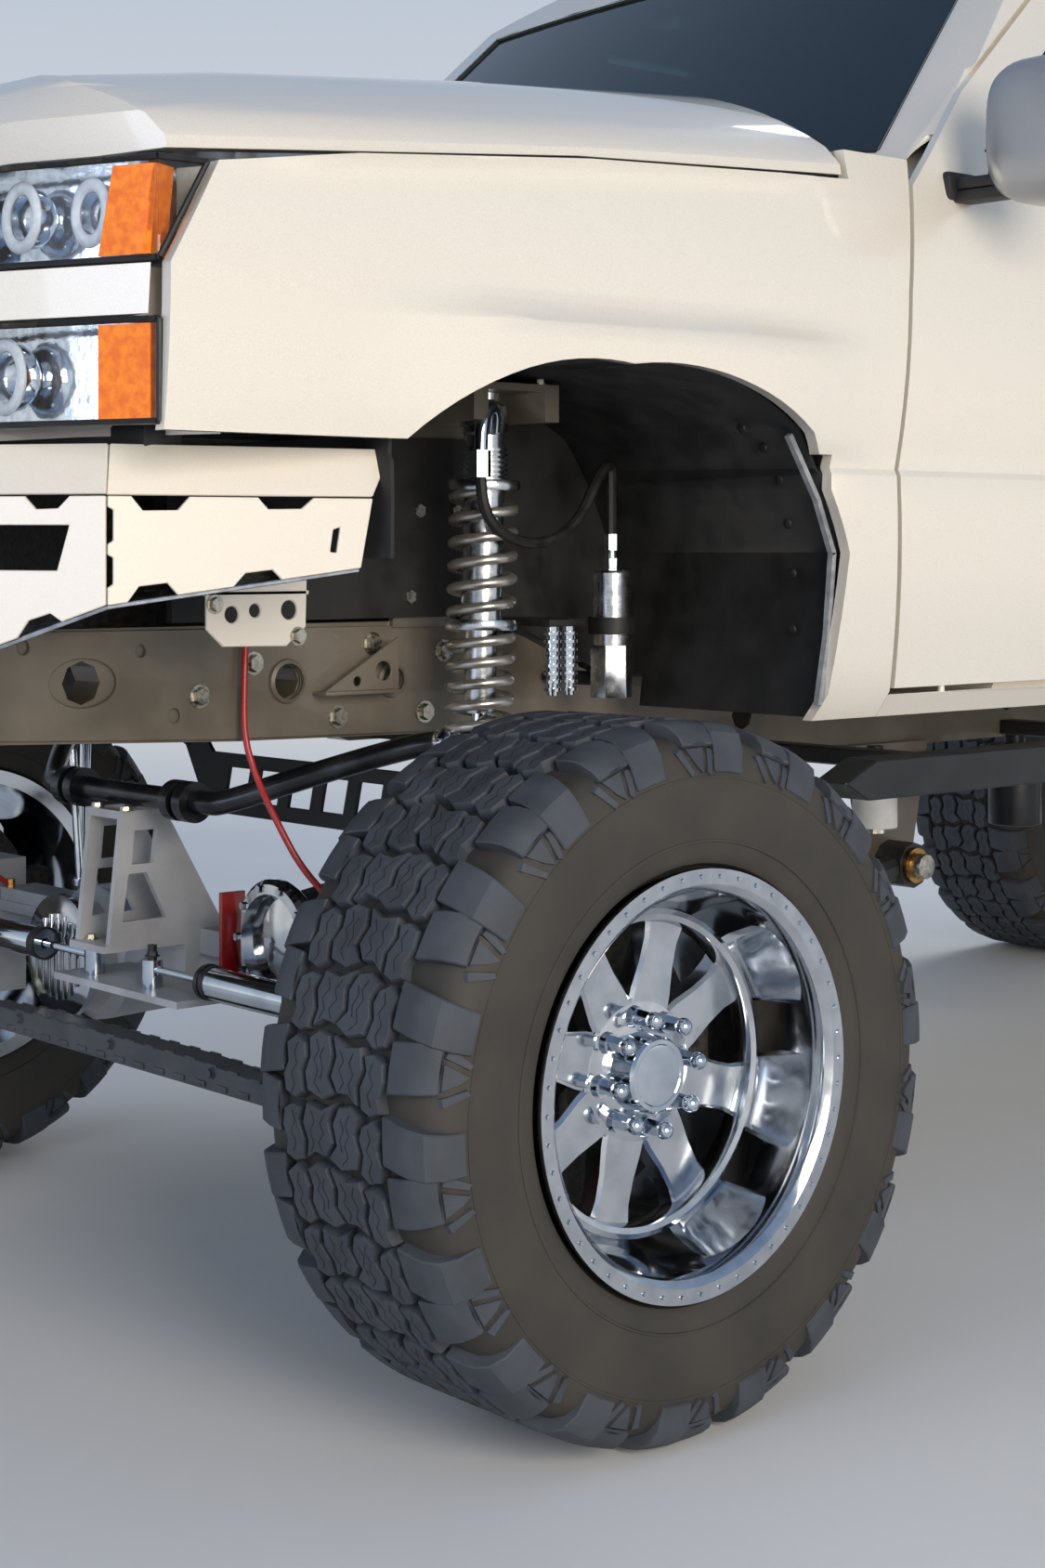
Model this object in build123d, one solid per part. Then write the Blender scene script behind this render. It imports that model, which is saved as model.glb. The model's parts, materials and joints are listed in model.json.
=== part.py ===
"""Lifted crew-cab pickup truck on mud tyres, as an assembly of separate pieces.

Millimetres. +X is the front of the truck, +Y its left (driver's) side, +Z up.
The origin is on the ground under the middle of the truck's box.
Most stations are written as a distance behind the front axle and go through at().
"""
from build123d import *
import os

os.makedirs("parts", exist_ok=True)

# Overall sizes
wheelbase = 3886.0
front_overhang = 1010.0
rear_overhang = 1130.0
overall_length = front_overhang + wheelbase + rear_overhang
front_axle_x = overall_length / 2 - front_overhang
rear_axle_x = front_axle_x - wheelbase

# Wheels and tyres
tyre_radius = 500.0
tyre_width = 384.0
lug_depth = 18.0
lug_count = 18
lug_width = 80.0
half_track = 1010.0
rim_radius = 279.0
lip_radius = 298.0
rim_wall = 9.0
seat_gap = 0.4
hub_gap = 0.5
lip_face = 186.0
spoke_face = 60.0
spoke_thickness = 34.0
spoke_count = 8
hub_radius = 95.0
disc_radius = 205.0

# Steering
kingpin_y = 770.0
steering_arm = 170.0
fork_half = 118.0
beam_z = 415.0
beam_half = 26.0
stabiliser_z = 535.0
stabiliser_radius = 27.0

# Body levels
rocker_z = 965.0
sill_z = 1008.0
crease_z = 1355.0
belt_z = 1890.0
rail_z = 2450.0
roof_z = 2535.0
floor_z = 1035.0
floor_thickness = 30.0
panel = 20.0
shut_gap = 10.0
door_skin = 16.0
jamb = 34.0
core_gap = 20.0

# Half widths of the body's side section
sill_y, crease_y, waist_y, belt_y, rail_half = 986.0, 1006.0, 1011.0, 965.0, 790.0

# Cab and bed stations behind the front axle
firewall = 575.0
front_door_edge = 660.0
door_split = 1690.0
cab_end = wheelbase - 1126.0
rear_door_end = cab_end - 200.0
frame_wall = 50.0
cab_gap = 30.0
bed_start = cab_end + cab_gap
rear_bumper_stand = 104.0
bed_end = wheelbase + rear_overhang - rear_bumper_stand
tailgate_thickness = 46.0
gate_gap = 6.0

# Hinges: door axis behind the door's front edge and half way across, hood axis behind the axle
door_hinge = 140.0
door_hinge_y = 976.0
hood_hinge = 560.0
hood_hinge_z = 1890.0
stand_y = 846.0
stand_width = 12.0
gate_hinge_z = 1362.0

# Windshield
screen_base = 674.0
screen_sag = 110.0
screen_half = 903.0
screen_rake = 1.06
glass = 6.0

# Frame
rail_y = 400.0
rail_half_width = 35.0
rail_low = 850.0
rail_top = 1010.0

# Bed
bed_floor_z = 1360.0
bed_inner_y = 830.0
arch_top = 1503.0

# Front end
nose = 900.0
lamp_inner_y = 480.0
lamp_depth = 130.0
bumper_reach = 1010.0
bumper_plate = 10.0
bumper_top_z = 1372.0


def at(behind):
    """X of a station given as a distance behind the front axle."""
    return front_axle_x - behind


def side_face(points, grow=0.0):
    """Face of an outline drawn from the side, corners as (behind, z), grown all round."""
    face = make_face(Polyline(*[(at(b), z) for b, z in points], close=True))
    return offset(face, amount=grow, kind=Kind.INTERSECTION) if grow else face


def side(points, y_low, y_high, grow=0.0):
    """Prism of an outline drawn from the side."""
    return extrude(Plane.XZ.offset(-y_high) * side_face(points, grow), y_high - y_low)


def front(points, x_low, x_high):
    """Prism of an outline drawn from the front, corners as (y, z)."""
    face = make_face(Polyline(*points, close=True))
    return extrude(Plane.YZ.offset(x_low) * face, x_high - x_low)


def block(x_low, x_high, y_low, y_high, z_low, z_high):
    size = Box(x_high - x_low, y_high - y_low, z_high - z_low)
    return Pos((x_low + x_high) / 2, (y_low + y_high) / 2, (z_low + z_high) / 2) * size


def rod(start, end, radius, bore=0.0):
    """Round bar, or a tube with a bore, between two points."""
    start, end = Vector(*start), Vector(*end)
    section = Circle(radius)
    if bore:
        section -= Circle(bore)
    return extrude(Plane(start, z_dir=end - start) * section, (end - start).length)


def flats(radius, count, turn=0.0):
    """Regular polygon given by the distance to its flats."""
    return RegularPolygon(radius, count, major_radius=False, rotation=turn)


def bar(start, end, radius, sides=10):
    """Many-sided bar between two points, for rods and tubes that need no true round face."""
    start, end = Vector(*start), Vector(*end)
    return extrude(Plane(start, z_dir=end - start) * flats(radius, sides), (end - start).length)


def turned(centre, profile, sides=16):
    """Many-sided body along X about a centre, corners as (x offset, radius)."""
    x_mid, y_mid, z_mid = centre
    faces = [Plane.YZ.offset(x_mid + x) * (Pos(y_mid, z_mid) * flats(radius, sides))
             for x, radius in profile]
    return loft(faces, ruled=True)


def across(x, z, radius, y_low, y_high):
    """Round bar along Y."""
    return rod((x, y_low, z), (x, y_high, z), radius)


def bar_across(x, z, radius, y_low, y_high, sides=10):
    """Many-sided bar along Y."""
    return bar((x, y_low, z), (x, y_high, z), radius, sides)


def both(solid):
    """The solid and its mirror image on the other side of the truck."""
    return [solid, mirror(solid, Plane.XZ)]


def joined(shapes):
    result = shapes[0]
    for shape in shapes[1:]:
        result = result + shape
    return result


def save(name, *shapes):
    """Write the solids of one node."""
    solids = [s for shape in shapes for s in shape.solids()]
    export_step(solids[0] if len(solids) == 1 else Compound(children=solids), f"parts/{name}.step")
    print(name, len(solids))


# Body side section, shared by fenders, cab, doors and bed
def body_section(inset, top_z):
    low = (sill_y - 30 - inset, rocker_z)
    lip = (sill_y - inset, sill_z)
    crease = (crease_y - inset, crease_z)
    step = (crease_y - 6 - inset, crease_z + 10)
    belt = (belt_y - inset, belt_z)
    line = [
        Line((0, rocker_z), low),
        Line(low, lip),
        ThreePointArc(lip, (crease_y - 2 - inset, 1180), crease),
        Line(crease, step),
        ThreePointArc(step, (waist_y - inset, 1560), belt),
    ]
    if top_z > belt_z:
        rail = (rail_half - inset, rail_z)
        crown = (0, roof_z - inset)
        line += [Line(belt, rail), ThreePointArc(rail, (400, roof_z - 18 - inset), crown),
                 Line(crown, (0, rocker_z))]
    else:
        line += [Line(belt, (0, belt_z)), Line((0, belt_z), (0, rocker_z))]
    return make_face(Wire(line))


def body_prism(inset, top_z, x_low, x_high):
    half = extrude(Plane.YZ.offset(x_low) * body_section(inset, top_z), x_high - x_low)
    return half + mirror(half, Plane.XZ)


def screen_front(depth):
    """Everything in front of the windshield's surface moved back by depth."""
    drop = 500
    x_mid = at(screen_base + depth) + drop * screen_rake
    x_side = x_mid - screen_sag
    arc = ThreePointArc((x_side, -screen_half), (x_mid, 0), (x_side, screen_half))
    box = Polyline((x_side, screen_half), (x_side, 1300), (x_mid + 2500, 1300), (x_mid + 2500, -1300),
                   (x_side, -1300), (x_side, -screen_half))
    face = Plane.XY.offset(belt_z - drop) * make_face(Wire([arc] + box.edges()))
    lean = Vector(-screen_rake, 0, 1)
    return extrude(face, 1300 * lean.length, dir=lean.normalized())


# Door and window outlines, corners as (behind, z)
door_low = sill_z + 4
frame_top = rail_z - 20
front_outline = [
    (front_door_edge + 7, door_low), (front_door_edge, crease_z), (front_door_edge + 30, 1650),
    (front_door_edge + 73, 1881), (1478, frame_top), (door_split, frame_top), (door_split, door_low),
]
rear_start = door_split + shut_gap
rear_outline = [
    (rear_start, door_low), (rear_start, frame_top), (rear_door_end - 40, frame_top),
    (rear_door_end, belt_z), (rear_door_end, door_low),
]
window_low, window_top = belt_z + 24, frame_top - 55
front_window = [(940, window_low), (1500, window_top), (door_split - 62, window_top),
                (door_split - 62, window_low)]
rear_window = [(rear_start + 60, window_low), (rear_start + 60, window_top),
               (rear_door_end - 120, window_top), (rear_door_end - 80, window_low)]


# Room for the part of a door ahead of its hinge as it swings in: radius, z low, z high
swing_front = [(149, door_low - shut_gap, 1660), (118, 1660, 1880), (62, 1880, 1935)]
swing_rear = [(149, door_low - shut_gap, 1880)]

# Lamp edge, hood shut line and whole outline of the fender, corners as (behind, z)
lamp_back = [(-665, 1727), (-745, 1593), (-750, 1385)]
hood_line = [(-665, 1727), (-446, 1758), (-23, 1796), (511, 1824)]
fender_top = 1876.0
fender_side = lamp_back[::-1] + hood_line[1:] + [
    (562, 1827), (562, fender_top), (front_door_edge + 71 - shut_gap, fender_top),
    (front_door_edge + 30 - shut_gap, 1650), (front_door_edge - shut_gap, crease_z),
    (front_door_edge + 7 - shut_gap, rocker_z), (490, rocker_z), (490, 1385)]


def build_cab():
    """One thick shell for the cab, split into the fixed cab, its doors and its glass."""
    x_front, x_rear = at(firewall), at(cab_end)
    outer = body_prism(0, roof_z, x_rear, x_front) - screen_front(0)
    skin = body_prism(door_skin, roof_z, x_rear - 1, x_front + 1)
    hollow_low = front([(-870, floor_z + floor_thickness), (870, floor_z + floor_thickness),
                        (870, belt_z - 20), (-870, belt_z - 20)],
                       x_rear + frame_wall, x_front - 25)
    hollow_high = body_prism(frame_wall, roof_z, x_rear + frame_wall, x_front - 25) & \
        block(x_rear, x_front, -1000, 1000, belt_z - 20, roof_z)
    hollow = (hollow_low + hollow_high) - screen_front(frame_wall)
    wall = outer - hollow
    below = block(x_rear - 1, x_front + 1, -800, 800, rocker_z - 1, floor_z)
    wall = wall - below
    floor_zone = block(x_rear, x_front, 0, 866, rocker_z, floor_z + floor_thickness)
    openings, doors, glasses = [], [], []
    for outline, window in ((front_outline, front_window), (rear_outline, rear_window)):
        skin_zone = side(outline, 500, 1200) - skin
        core_zone = (side(outline, 500, 1200, shut_gap - jamb - core_gap) & skin) - floor_zone
        door = (wall & skin_zone) + (wall & core_zone)
        pane_zone = side(window, 500, 1200)
        pane = (side(window, 500, 1200, -seat_gap) & body_prism(20, roof_z, x_rear, x_front)) \
            - body_prism(20 + glass, roof_z, x_rear - 1, x_front + 1)
        doors.append(door - pane_zone)
        glasses.append(pane)
        openings.append(side(outline, 500, 1200, shut_gap) - skin)
        openings.append((side(outline, 500, 1200, shut_gap - jamb) & skin) - floor_zone)
    fender_zone = side(fender_side, 800, 1200, 1) - body_prism(panel + seat_gap, roof_z, x_rear, x_front + 1)
    openings.append(fender_zone)
    for edge, steps in ((front_door_edge, swing_front), (rear_start, swing_rear)):
        axis = at(edge + door_hinge)
        for radius, z_low, z_high in steps:
            openings.append(rod((axis, door_hinge_y, z_low), (axis, door_hinge_y, z_high), radius))
    pillar_room = block(at(rear_start + 40), at(rear_start - 6), 600, 1000, belt_z - 20, frame_top + shut_gap)
    rail_room = block(at(front_axle_x), at(rear_start - 6), 725, 1000, frame_top - 26, frame_top + shut_gap)
    openings.append((pillar_room + rail_room) & skin)
    shell = wall
    for cut in openings:
        shell = shell - cut - mirror(cut, Plane.XZ)
    for edge in (front_door_edge, rear_start):
        pin = rod((at(edge + door_hinge), door_hinge_y, door_low - shut_gap - 2),
                  (at(edge + door_hinge), door_hinge_y, door_low - seat_gap), 6)
        shell = shell + pin + mirror(pin, Plane.XZ)
    stand = block(at(hood_hinge + 6), at(hood_hinge - 6), stand_y, stand_y + stand_width, 1836, hood_hinge_z) + \
        across(at(hood_hinge), hood_hinge_z, 6, stand_y - 4 + seat_gap, stand_y + stand_width)
    tie = block(at(front_door_edge + 110), at(hood_hinge - 6), stand_y, stand_y + stand_width, 1836, 1850)
    shell = shell + stand + tie + mirror(stand + tie, Plane.XZ)
    screen_outline = [(-845, belt_z + 20), (-400, belt_z + 60), (400, belt_z + 60), (845, belt_z + 20),
                      (715, rail_z - 30), (-715, rail_z - 30)]
    screen_hole = front(screen_outline, at(1700), at(400))
    pane_edge = make_face(Polyline(*screen_outline, close=True))
    pane_edge = offset(pane_edge, amount=-seat_gap, kind=Kind.INTERSECTION)
    screen = extrude(Plane.YZ.offset(at(1700)) * pane_edge, 1300) & screen_front(10 + glass)
    screen = screen - screen_front(10)
    back_outline = [(-640, belt_z + 30), (640, belt_z + 30), (600, rail_z - 70), (-600, rail_z - 70)]
    shell = shell - screen_hole - front(back_outline, x_rear - 5, x_rear + 100)
    back_edge = offset(make_face(Polyline(*back_outline, close=True)), amount=-seat_gap,
                       kind=Kind.INTERSECTION)
    back = extrude(Plane.YZ.offset(x_rear + 20) * back_edge, glass)
    return shell, doors, glasses, screen, back


def cowl_piece():
    """Arched panel under the wipers, from behind the hood to the windshield."""
    half, crown_z, edge_z, thick = 860, 1945, 1862, 8
    arches = [ThreePointArc((-half, edge_z - drop), (0, crown_z - drop), (half, edge_z - drop))
              for drop in (0, thick)]
    ends = [Line((y, edge_z), (y, edge_z - thick)) for y in (-half, half)]
    face = make_face(Wire(arches + ends))
    panel_long = extrude(Plane.YZ.offset(at(900)) * face, 900 - (firewall + 2))
    save("cowl", panel_long & screen_front(-seat_gap))


def cab_pieces():
    shell, doors, glasses, screen, back = build_cab()
    save("cab_shell", shell)
    cowl_piece()
    save("cab_glass", screen, back)
    for name, door, pane in zip(("front", "rear"), doors, glasses):
        for hand, place in (("left", lambda s: s), ("right", lambda s: mirror(s, Plane.XZ))):
            save(f"door_{name}_{hand}", place(door))
            save(f"glass_{name}_{hand}", place(pane))


# Arch outline of the front fender, stations (behind, z); the bed's arch is its mirror image
arch_front, arch_crown, arch_turn, arch_back, arch_foot = \
    (-365, 1385), (30, arch_top), (431, 1418), (535, 1231), (498, rocker_z - 20)


def arch_prism(centre, y_low, y_high, grow=0.0):
    """Open space of a wheel arch, given the station of its axle."""
    def spot(point):
        return (at(centre + point[0]), point[1])
    front_low = (arch_front[0], rocker_z - 20)
    line = [
        Line(spot(front_low), spot(arch_front)),
        ThreePointArc(spot(arch_front), spot((-176, 1487)), spot(arch_crown)),
        ThreePointArc(spot(arch_crown), spot((260, 1490)), spot(arch_turn)),
        ThreePointArc(spot(arch_turn), spot((497, 1318)), spot(arch_back)),
        Line(spot(arch_back), spot(arch_foot)),
        Line(spot(arch_foot), spot(front_low)),
    ]
    face = make_face(Wire(line))
    if grow:
        face = offset(face, amount=grow, kind=Kind.INTERSECTION)
    return extrude(Plane.XZ.offset(-y_high) * face, y_high - y_low)


# Inner wall of the wheel housing, just outside the coilover's tower
liner_inner_y = 448.0


def fender_pieces():
    skin = body_prism(0, belt_z, at(firewall + 200), at(-760)) - \
        body_prism(panel, belt_z + 5, at(firewall + 210), at(-770))
    fender = (skin & side(fender_side, 800, 1200)) - arch_prism(0, 700, 1200)
    lip = (body_prism(0, belt_z, at(740), at(564)) - body_prism(60, belt_z + 5, at(750), at(550))) & \
        side([(566, fender_top - 16), (566, fender_top), (front_door_edge + 71 - shut_gap, fender_top),
              (front_door_edge + 67 - shut_gap, fender_top - 16)], 800, 1200)
    save("front_fenders", *both(fender + lip))
    liner = arch_prism(0, liner_inner_y, 1000, 14) - arch_prism(0, liner_inner_y + 5, 1010, 8)
    liner = liner & block(at(620), at(-430), liner_inner_y, 1000, rocker_z + 5, 1700)
    liner = liner & body_prism(panel + seat_gap, belt_z, at(700), at(-700))
    rail_room = side(rail_outline, 0, 560, 6) + block(at(700), at(-500), 0, 560, rocker_z - 5, 1000)
    liner = liner - rail_room - block(at(244), at(36), 400, 470, 1420, 1600)
    save("wheel_liners", *both(max(liner.solids(), key=lambda solid: solid.volume)))


# Hood sections: station behind the axle, shut line z, ridge z, crown z
hood_sections = [(552, 1827, 2002, 2020), (23, 1796, 1962, 1985), (-446, 1758, 1916, 1942),
                 (-900, 1716, 1850, 1880)]
hood_half, shoulder_y, ridge_y = 974.0, 940.0, 660.0
# Rolled front edge of the hood: z, set back from the nose
hood_roll = [(1700, 26), (1790, 34), (1835, 62), (1870, 120), (2100, 900)]


def hood_face(station, edge_z, ridge, crown, down):
    """Section of the hood; down is the depth below the outer skin."""
    half = hood_half - down
    base = edge_z + 7 if down == 0 else edge_z - 40
    pts = [(half, base), (half - 3, edge_z + 24 - down), (shoulder_y - down, edge_z + 56 - down),
           (ridge_y, ridge - down), (0, crown - down)]
    turned = [(-y, z) for y, z in pts[::-1]]
    bow = 14
    line = [
        Line(pts[0], pts[1]), Line(pts[1], pts[2]),
        ThreePointArc(pts[2], ((pts[2][0] + ridge_y) / 2, (pts[2][1] + pts[3][1]) / 2 + bow), pts[3]),
        ThreePointArc(pts[3], (ridge_y / 2, crown - down - 5), pts[4]),
        ThreePointArc(turned[0], (-ridge_y / 2, crown - down - 5), turned[1]),
        ThreePointArc(turned[1], ((turned[1][0] + turned[2][0]) / 2, (turned[1][1] + turned[2][1]) / 2 + bow),
                      turned[2]),
        Line(turned[2], turned[3]), Line(turned[3], turned[4]), Line(turned[4], pts[0]),
    ]
    return Plane.YZ.offset(at(station)) * make_face(Wire(line))


def nose_face(back):
    """Plan of the truck's curved front, moved back by a depth."""
    inner, outer = (at(-850 + back), 754), (at(-750 + back), 992)
    rear = (at(-300 + back), 992)
    lines = [
        ThreePointArc((inner[0], -inner[1]), (at(-nose + back), 0), inner),
        Line(inner, outer), Line(outer, rear), Line(rear, (rear[0], -rear[1])),
        Line((rear[0], -rear[1]), (outer[0], -outer[1])), Line((outer[0], -outer[1]), (inner[0], -inner[1])),
    ]
    return make_face(Wire(lines))


def nose_prism(back, z_low, z_high):
    """Solid behind the curved front of the truck, moved back by a depth."""
    return extrude(Plane.XY.offset(z_low) * nose_face(back), z_high - z_low)


def hood_roll_solid(down):
    faces = [Plane.XY.offset(z) * nose_face(back + down) for z, back in hood_roll]
    return loft(faces, ruled=True) + block(at(700), at(down - 300), -1000, 1000, 1700, 2100)


def hood_piece():
    tops = [loft([hood_face(*row, down) for row in hood_sections], ruled=True) for down in (0, 24)]
    outer = tops[0] & hood_roll_solid(0)
    inner = tops[1] & hood_roll_solid(24)
    line = [(553, 1600)] + [(b, z + 7) for b, z in hood_line[::-1]] + \
        [(-690, 1735), (-760, 1735), (-1000, 1735), (-1000, 2200), (553, 2200)]
    line[0] = (553, 1834)
    hood = (outer - inner) & side(line, -1000, 1000)
    for hand in (1, -1):
        low, high = sorted((hand * (stand_y - 4 - stand_width), hand * (stand_y - 4)))
        hood = hood + (across(at(hood_hinge), hood_hinge_z, 8, low, high) +
                       block(at(hood_hinge + 6), at(hood_hinge - 22), low, high, hood_hinge_z - 8,
                             hood_hinge_z + 36))
    save("hood", hood)


def nose_shell(depth):
    """Curved band across the truck's front, of a depth, trimmed beside the fenders."""
    band = nose_prism(0, 1385, 1729) - nose_prism(depth, 1370, 1770)
    rear = [(b - shut_gap, z) for b, z in lamp_back]
    ahead = side(rear + [(-1100, 1385), (-1100, 1740), (-690, 1740)], -1200, 1200)
    between = side(rear + [(-500, 1380), (-500, 1740)], -940, 940)
    return (band & ahead) + (band & block(at(-600), at(-1000), -940, 940, 1385, 1729) & between)


# Lamp bands from the ground up, and the reflector bowls in them: y, z, radius
upper_band, lower_band = (1597, 1780), (1393, 1526)
bowl_places = ((820, 1662, 44), (705, 1662, 50), (590, 1662, 40), (700, 1460, 48))
# Grille openings: z low, z high
grille_holes = ((1593, 1690), (1420, 1530))
bar_spacing, bar_width = 78.0, 14.0


def nose_pieces():
    wide = 992
    x_low, x_high = at(-500), at(-1100)
    body = nose_shell(lamp_depth)
    bowls = [extrude(Plane.YZ.offset(at(-nose + 110)) * (Pos(y, z) * flats(radius, 12)), 130)
             for y, z, radius in bowl_places]
    lamps = []
    for z_low, z_high in (upper_band, lower_band):
        lamp = body & block(x_low, x_high, lamp_inner_y, wide, z_low, z_high)
        for bowl in bowls:
            lamp = lamp - bowl
        lamps += both(lamp)
    save("headlamps", *lamps)
    middle = lamp_inner_y - 4
    deep = nose_shell(lamp_depth + 8)
    bar = body & block(x_low, x_high, -wide, wide, lower_band[1] + 4, upper_band[0] - 4)
    ring = deep & block(x_low, x_high, -middle, middle, lower_band[0], 1790)
    backing = (nose_prism(lamp_depth + seat_gap, 1385, 1729) - nose_prism(lamp_depth + 8, 1380, 1740)) & \
        block(at(-560), at(-1000), -950, 950, 1385, 1729)
    tab = block(at(-600), at(-640), 944, 992, 1480, 1580) & \
        body_prism(panel + seat_gap, belt_z, at(-500), at(-700))
    nose_panel = joined([bar, ring, backing] + both(tab))
    screens = []
    for z_low, z_high in grille_holes:
        edge = middle - 36
        nose_panel = nose_panel - block(x_low, x_high, -edge, edge, z_low, z_high)
        screen = nose_prism(40, z_low + seat_gap, z_high - seat_gap) - nose_prism(60, z_low, z_high)
        screen = screen & block(at(-600), at(-1000), seat_gap - edge, edge - seat_gap, z_low, z_high)
        opening = bar_spacing / 2 - bar_width / 2
        for step in range(-5, 6):
            screen = screen - block(at(-600), at(-1000), step * bar_spacing - opening,
                                    step * bar_spacing + opening, z_low + 12, z_high - 12)
        screens.append(screen)
    save("nose_panel", nose_panel)
    save("grille", *screens)


bumper_plan = [(-412, 962), (-762, 882), (-850, 756), (-bumper_reach, 530), (-bumper_reach, 0)]
bumper_foot = [(-357, bumper_top_z), (-398, 1305), (-415, 1212), (-762, 1166), (-850, 1112),
               (-bumper_reach - 5, 1040), (-bumper_reach - 5, bumper_top_z)]


def bumper_piece():
    """Plate bumper bent in plan, with a top flange and two arms to the frame."""
    corners = bumper_plan + [(b, -y) for b, y in bumper_plan[-2::-1]]
    face = make_face(Polyline(*[(at(b), y) for b, y in corners], close=True))
    inner = offset(face, amount=-bumper_plate, kind=Kind.INTERSECTION)
    rim = offset(face, amount=-70, kind=Kind.INTERSECTION)
    low, high = 1000.0, bumper_top_z
    ring = extrude(Plane.XY.offset(low) * face, high - low) - \
        extrude(Plane.XY.offset(low - 1) * inner, high - low + 2)
    top = extrude(Plane.XY.offset(high - 8) * face, 8) - extrude(Plane.XY.offset(high - 9) * rim, 10)
    shell = (ring + top) - block(at(-300), at(-440), -900, 900, low - 1, high + 1)
    shell = shell & side(bumper_foot, -1100, 1100)
    window = front([(600, 1210), (800, 1210), (838, 1290), (600, 1290)], at(-600), at(-1100))
    shell = shell - window - mirror(window, Plane.XZ)
    arms = []
    for y in (rail_y, -rail_y):
        arms.append(side([(-770, 960), (-770, 1110), (-985, 1300), (-bumper_reach + bumper_plate, 1300),
                          (-bumper_reach + bumper_plate, 1060), (-985, 1060)], y - 5, y + 5))
    save("front_bumper", joined([shell] + arms))


# Frame rail outline from the side, corners as (behind, z)
rail_outline = [
    (-770, 1120), (250, 1120), (350, 1090), (540, rail_top), (wheelbase - 936, rail_top),
    (wheelbase - 586, 1180), (wheelbase + 414, 1180), (bed_end - 12, 1140), (bed_end - 12, 1010),
    (wheelbase + 414, 1050), (wheelbase - 586, 1050), (wheelbase - 906, rail_low), (600, rail_low),
    (350, 930), (-250, 940), (-770, 960)]
# Cross members: station behind the axle, half length along X, bottom z, top z
cross_members = [(-700, 40, 980, 1060), (1000, 60, 855, 888), (1500, 50, 930, 1000),
                 (cab_end - 260, 50, 900, 1000), (wheelbase - 406, 40, 1070, 1150),
                 (bed_end - 62, 40, 1020, 1120)]
mount_stations = [760, 1450, cab_end - 610, cab_end - 60]
spring_y = 470.0
spring_half = 700.0
spring_eyes = [(wheelbase - spring_half, 1080), (wheelbase + spring_half, 1100)]


def frame_piece():
    rails = []
    for y in (rail_y, -rail_y):
        rail = side(rail_outline, y - rail_half_width, y + rail_half_width)
        for station, z, radius in ((-520, 1040, 30), (-150, 1030, 26), (60, 1025, 20), (900, 930, 25),
                                   (1700, 930, 25), (cab_end - 460, 930, 25)):
            rail = rail - bar_across(at(station), z, radius, y - 60, y + 60, 8)
        rails.append(rail)
    inner = rail_y - rail_half_width
    beams = [block(at(s + half), at(s - half), -inner - 1, inner + 1, low, high)
             for s, half, low, high in cross_members]
    drops = []
    for hand in (1, -1):
        plate = side([(1180, rail_low + 5), (1420, rail_low + 5), (1360, 580), (1240, 580)],
                     min(hand * 438, hand * 452), max(hand * 438, hand * 452))
        plate = plate + block(at(1420), at(1180), min(hand * 400, hand * 452), max(hand * 400, hand * 452),
                              rail_low, rail_low + 8)
        drops.append(plate)
        for station, height in spring_eyes:
            low, high = sorted((hand * (rail_y + rail_half_width), hand * (spring_y + 46)))
            drops.append(block(at(station + 40), at(station - 40), low, high, height - 20, height))
            for y in (spring_y - 40, spring_y + 40):
                low, high = sorted((hand * (y - 5), hand * (y + 5)))
                drops.append(side([(station - 40, height), (station + 40, height), (station + 28, 838),
                                   (station - 28, 838)], low, high))
        tower = side([(60, 1110), (260, 1110), (200, 1500), (80, 1500)],
                     min(hand * 434, hand * 446), max(hand * 434, hand * 446))
        cap = block(at(230), at(50), min(hand * 434, hand * 660), max(hand * 434, hand * 660), 1440, 1500)
        drops += [tower, cap - block(at(200), at(80), min(hand * 450, hand * 680), max(hand * 450, hand * 680),
                                     1430, 1488)]
    save("frame", joined(rails + beams + drops))
    pads = [extrude(Plane.XY.offset(rail_top) * (Pos(at(s), y) * flats(45, 12)), floor_z - rail_top)
            for s in mount_stations for y in (rail_y, -rail_y)]
    save("body_mounts", *pads)


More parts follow.
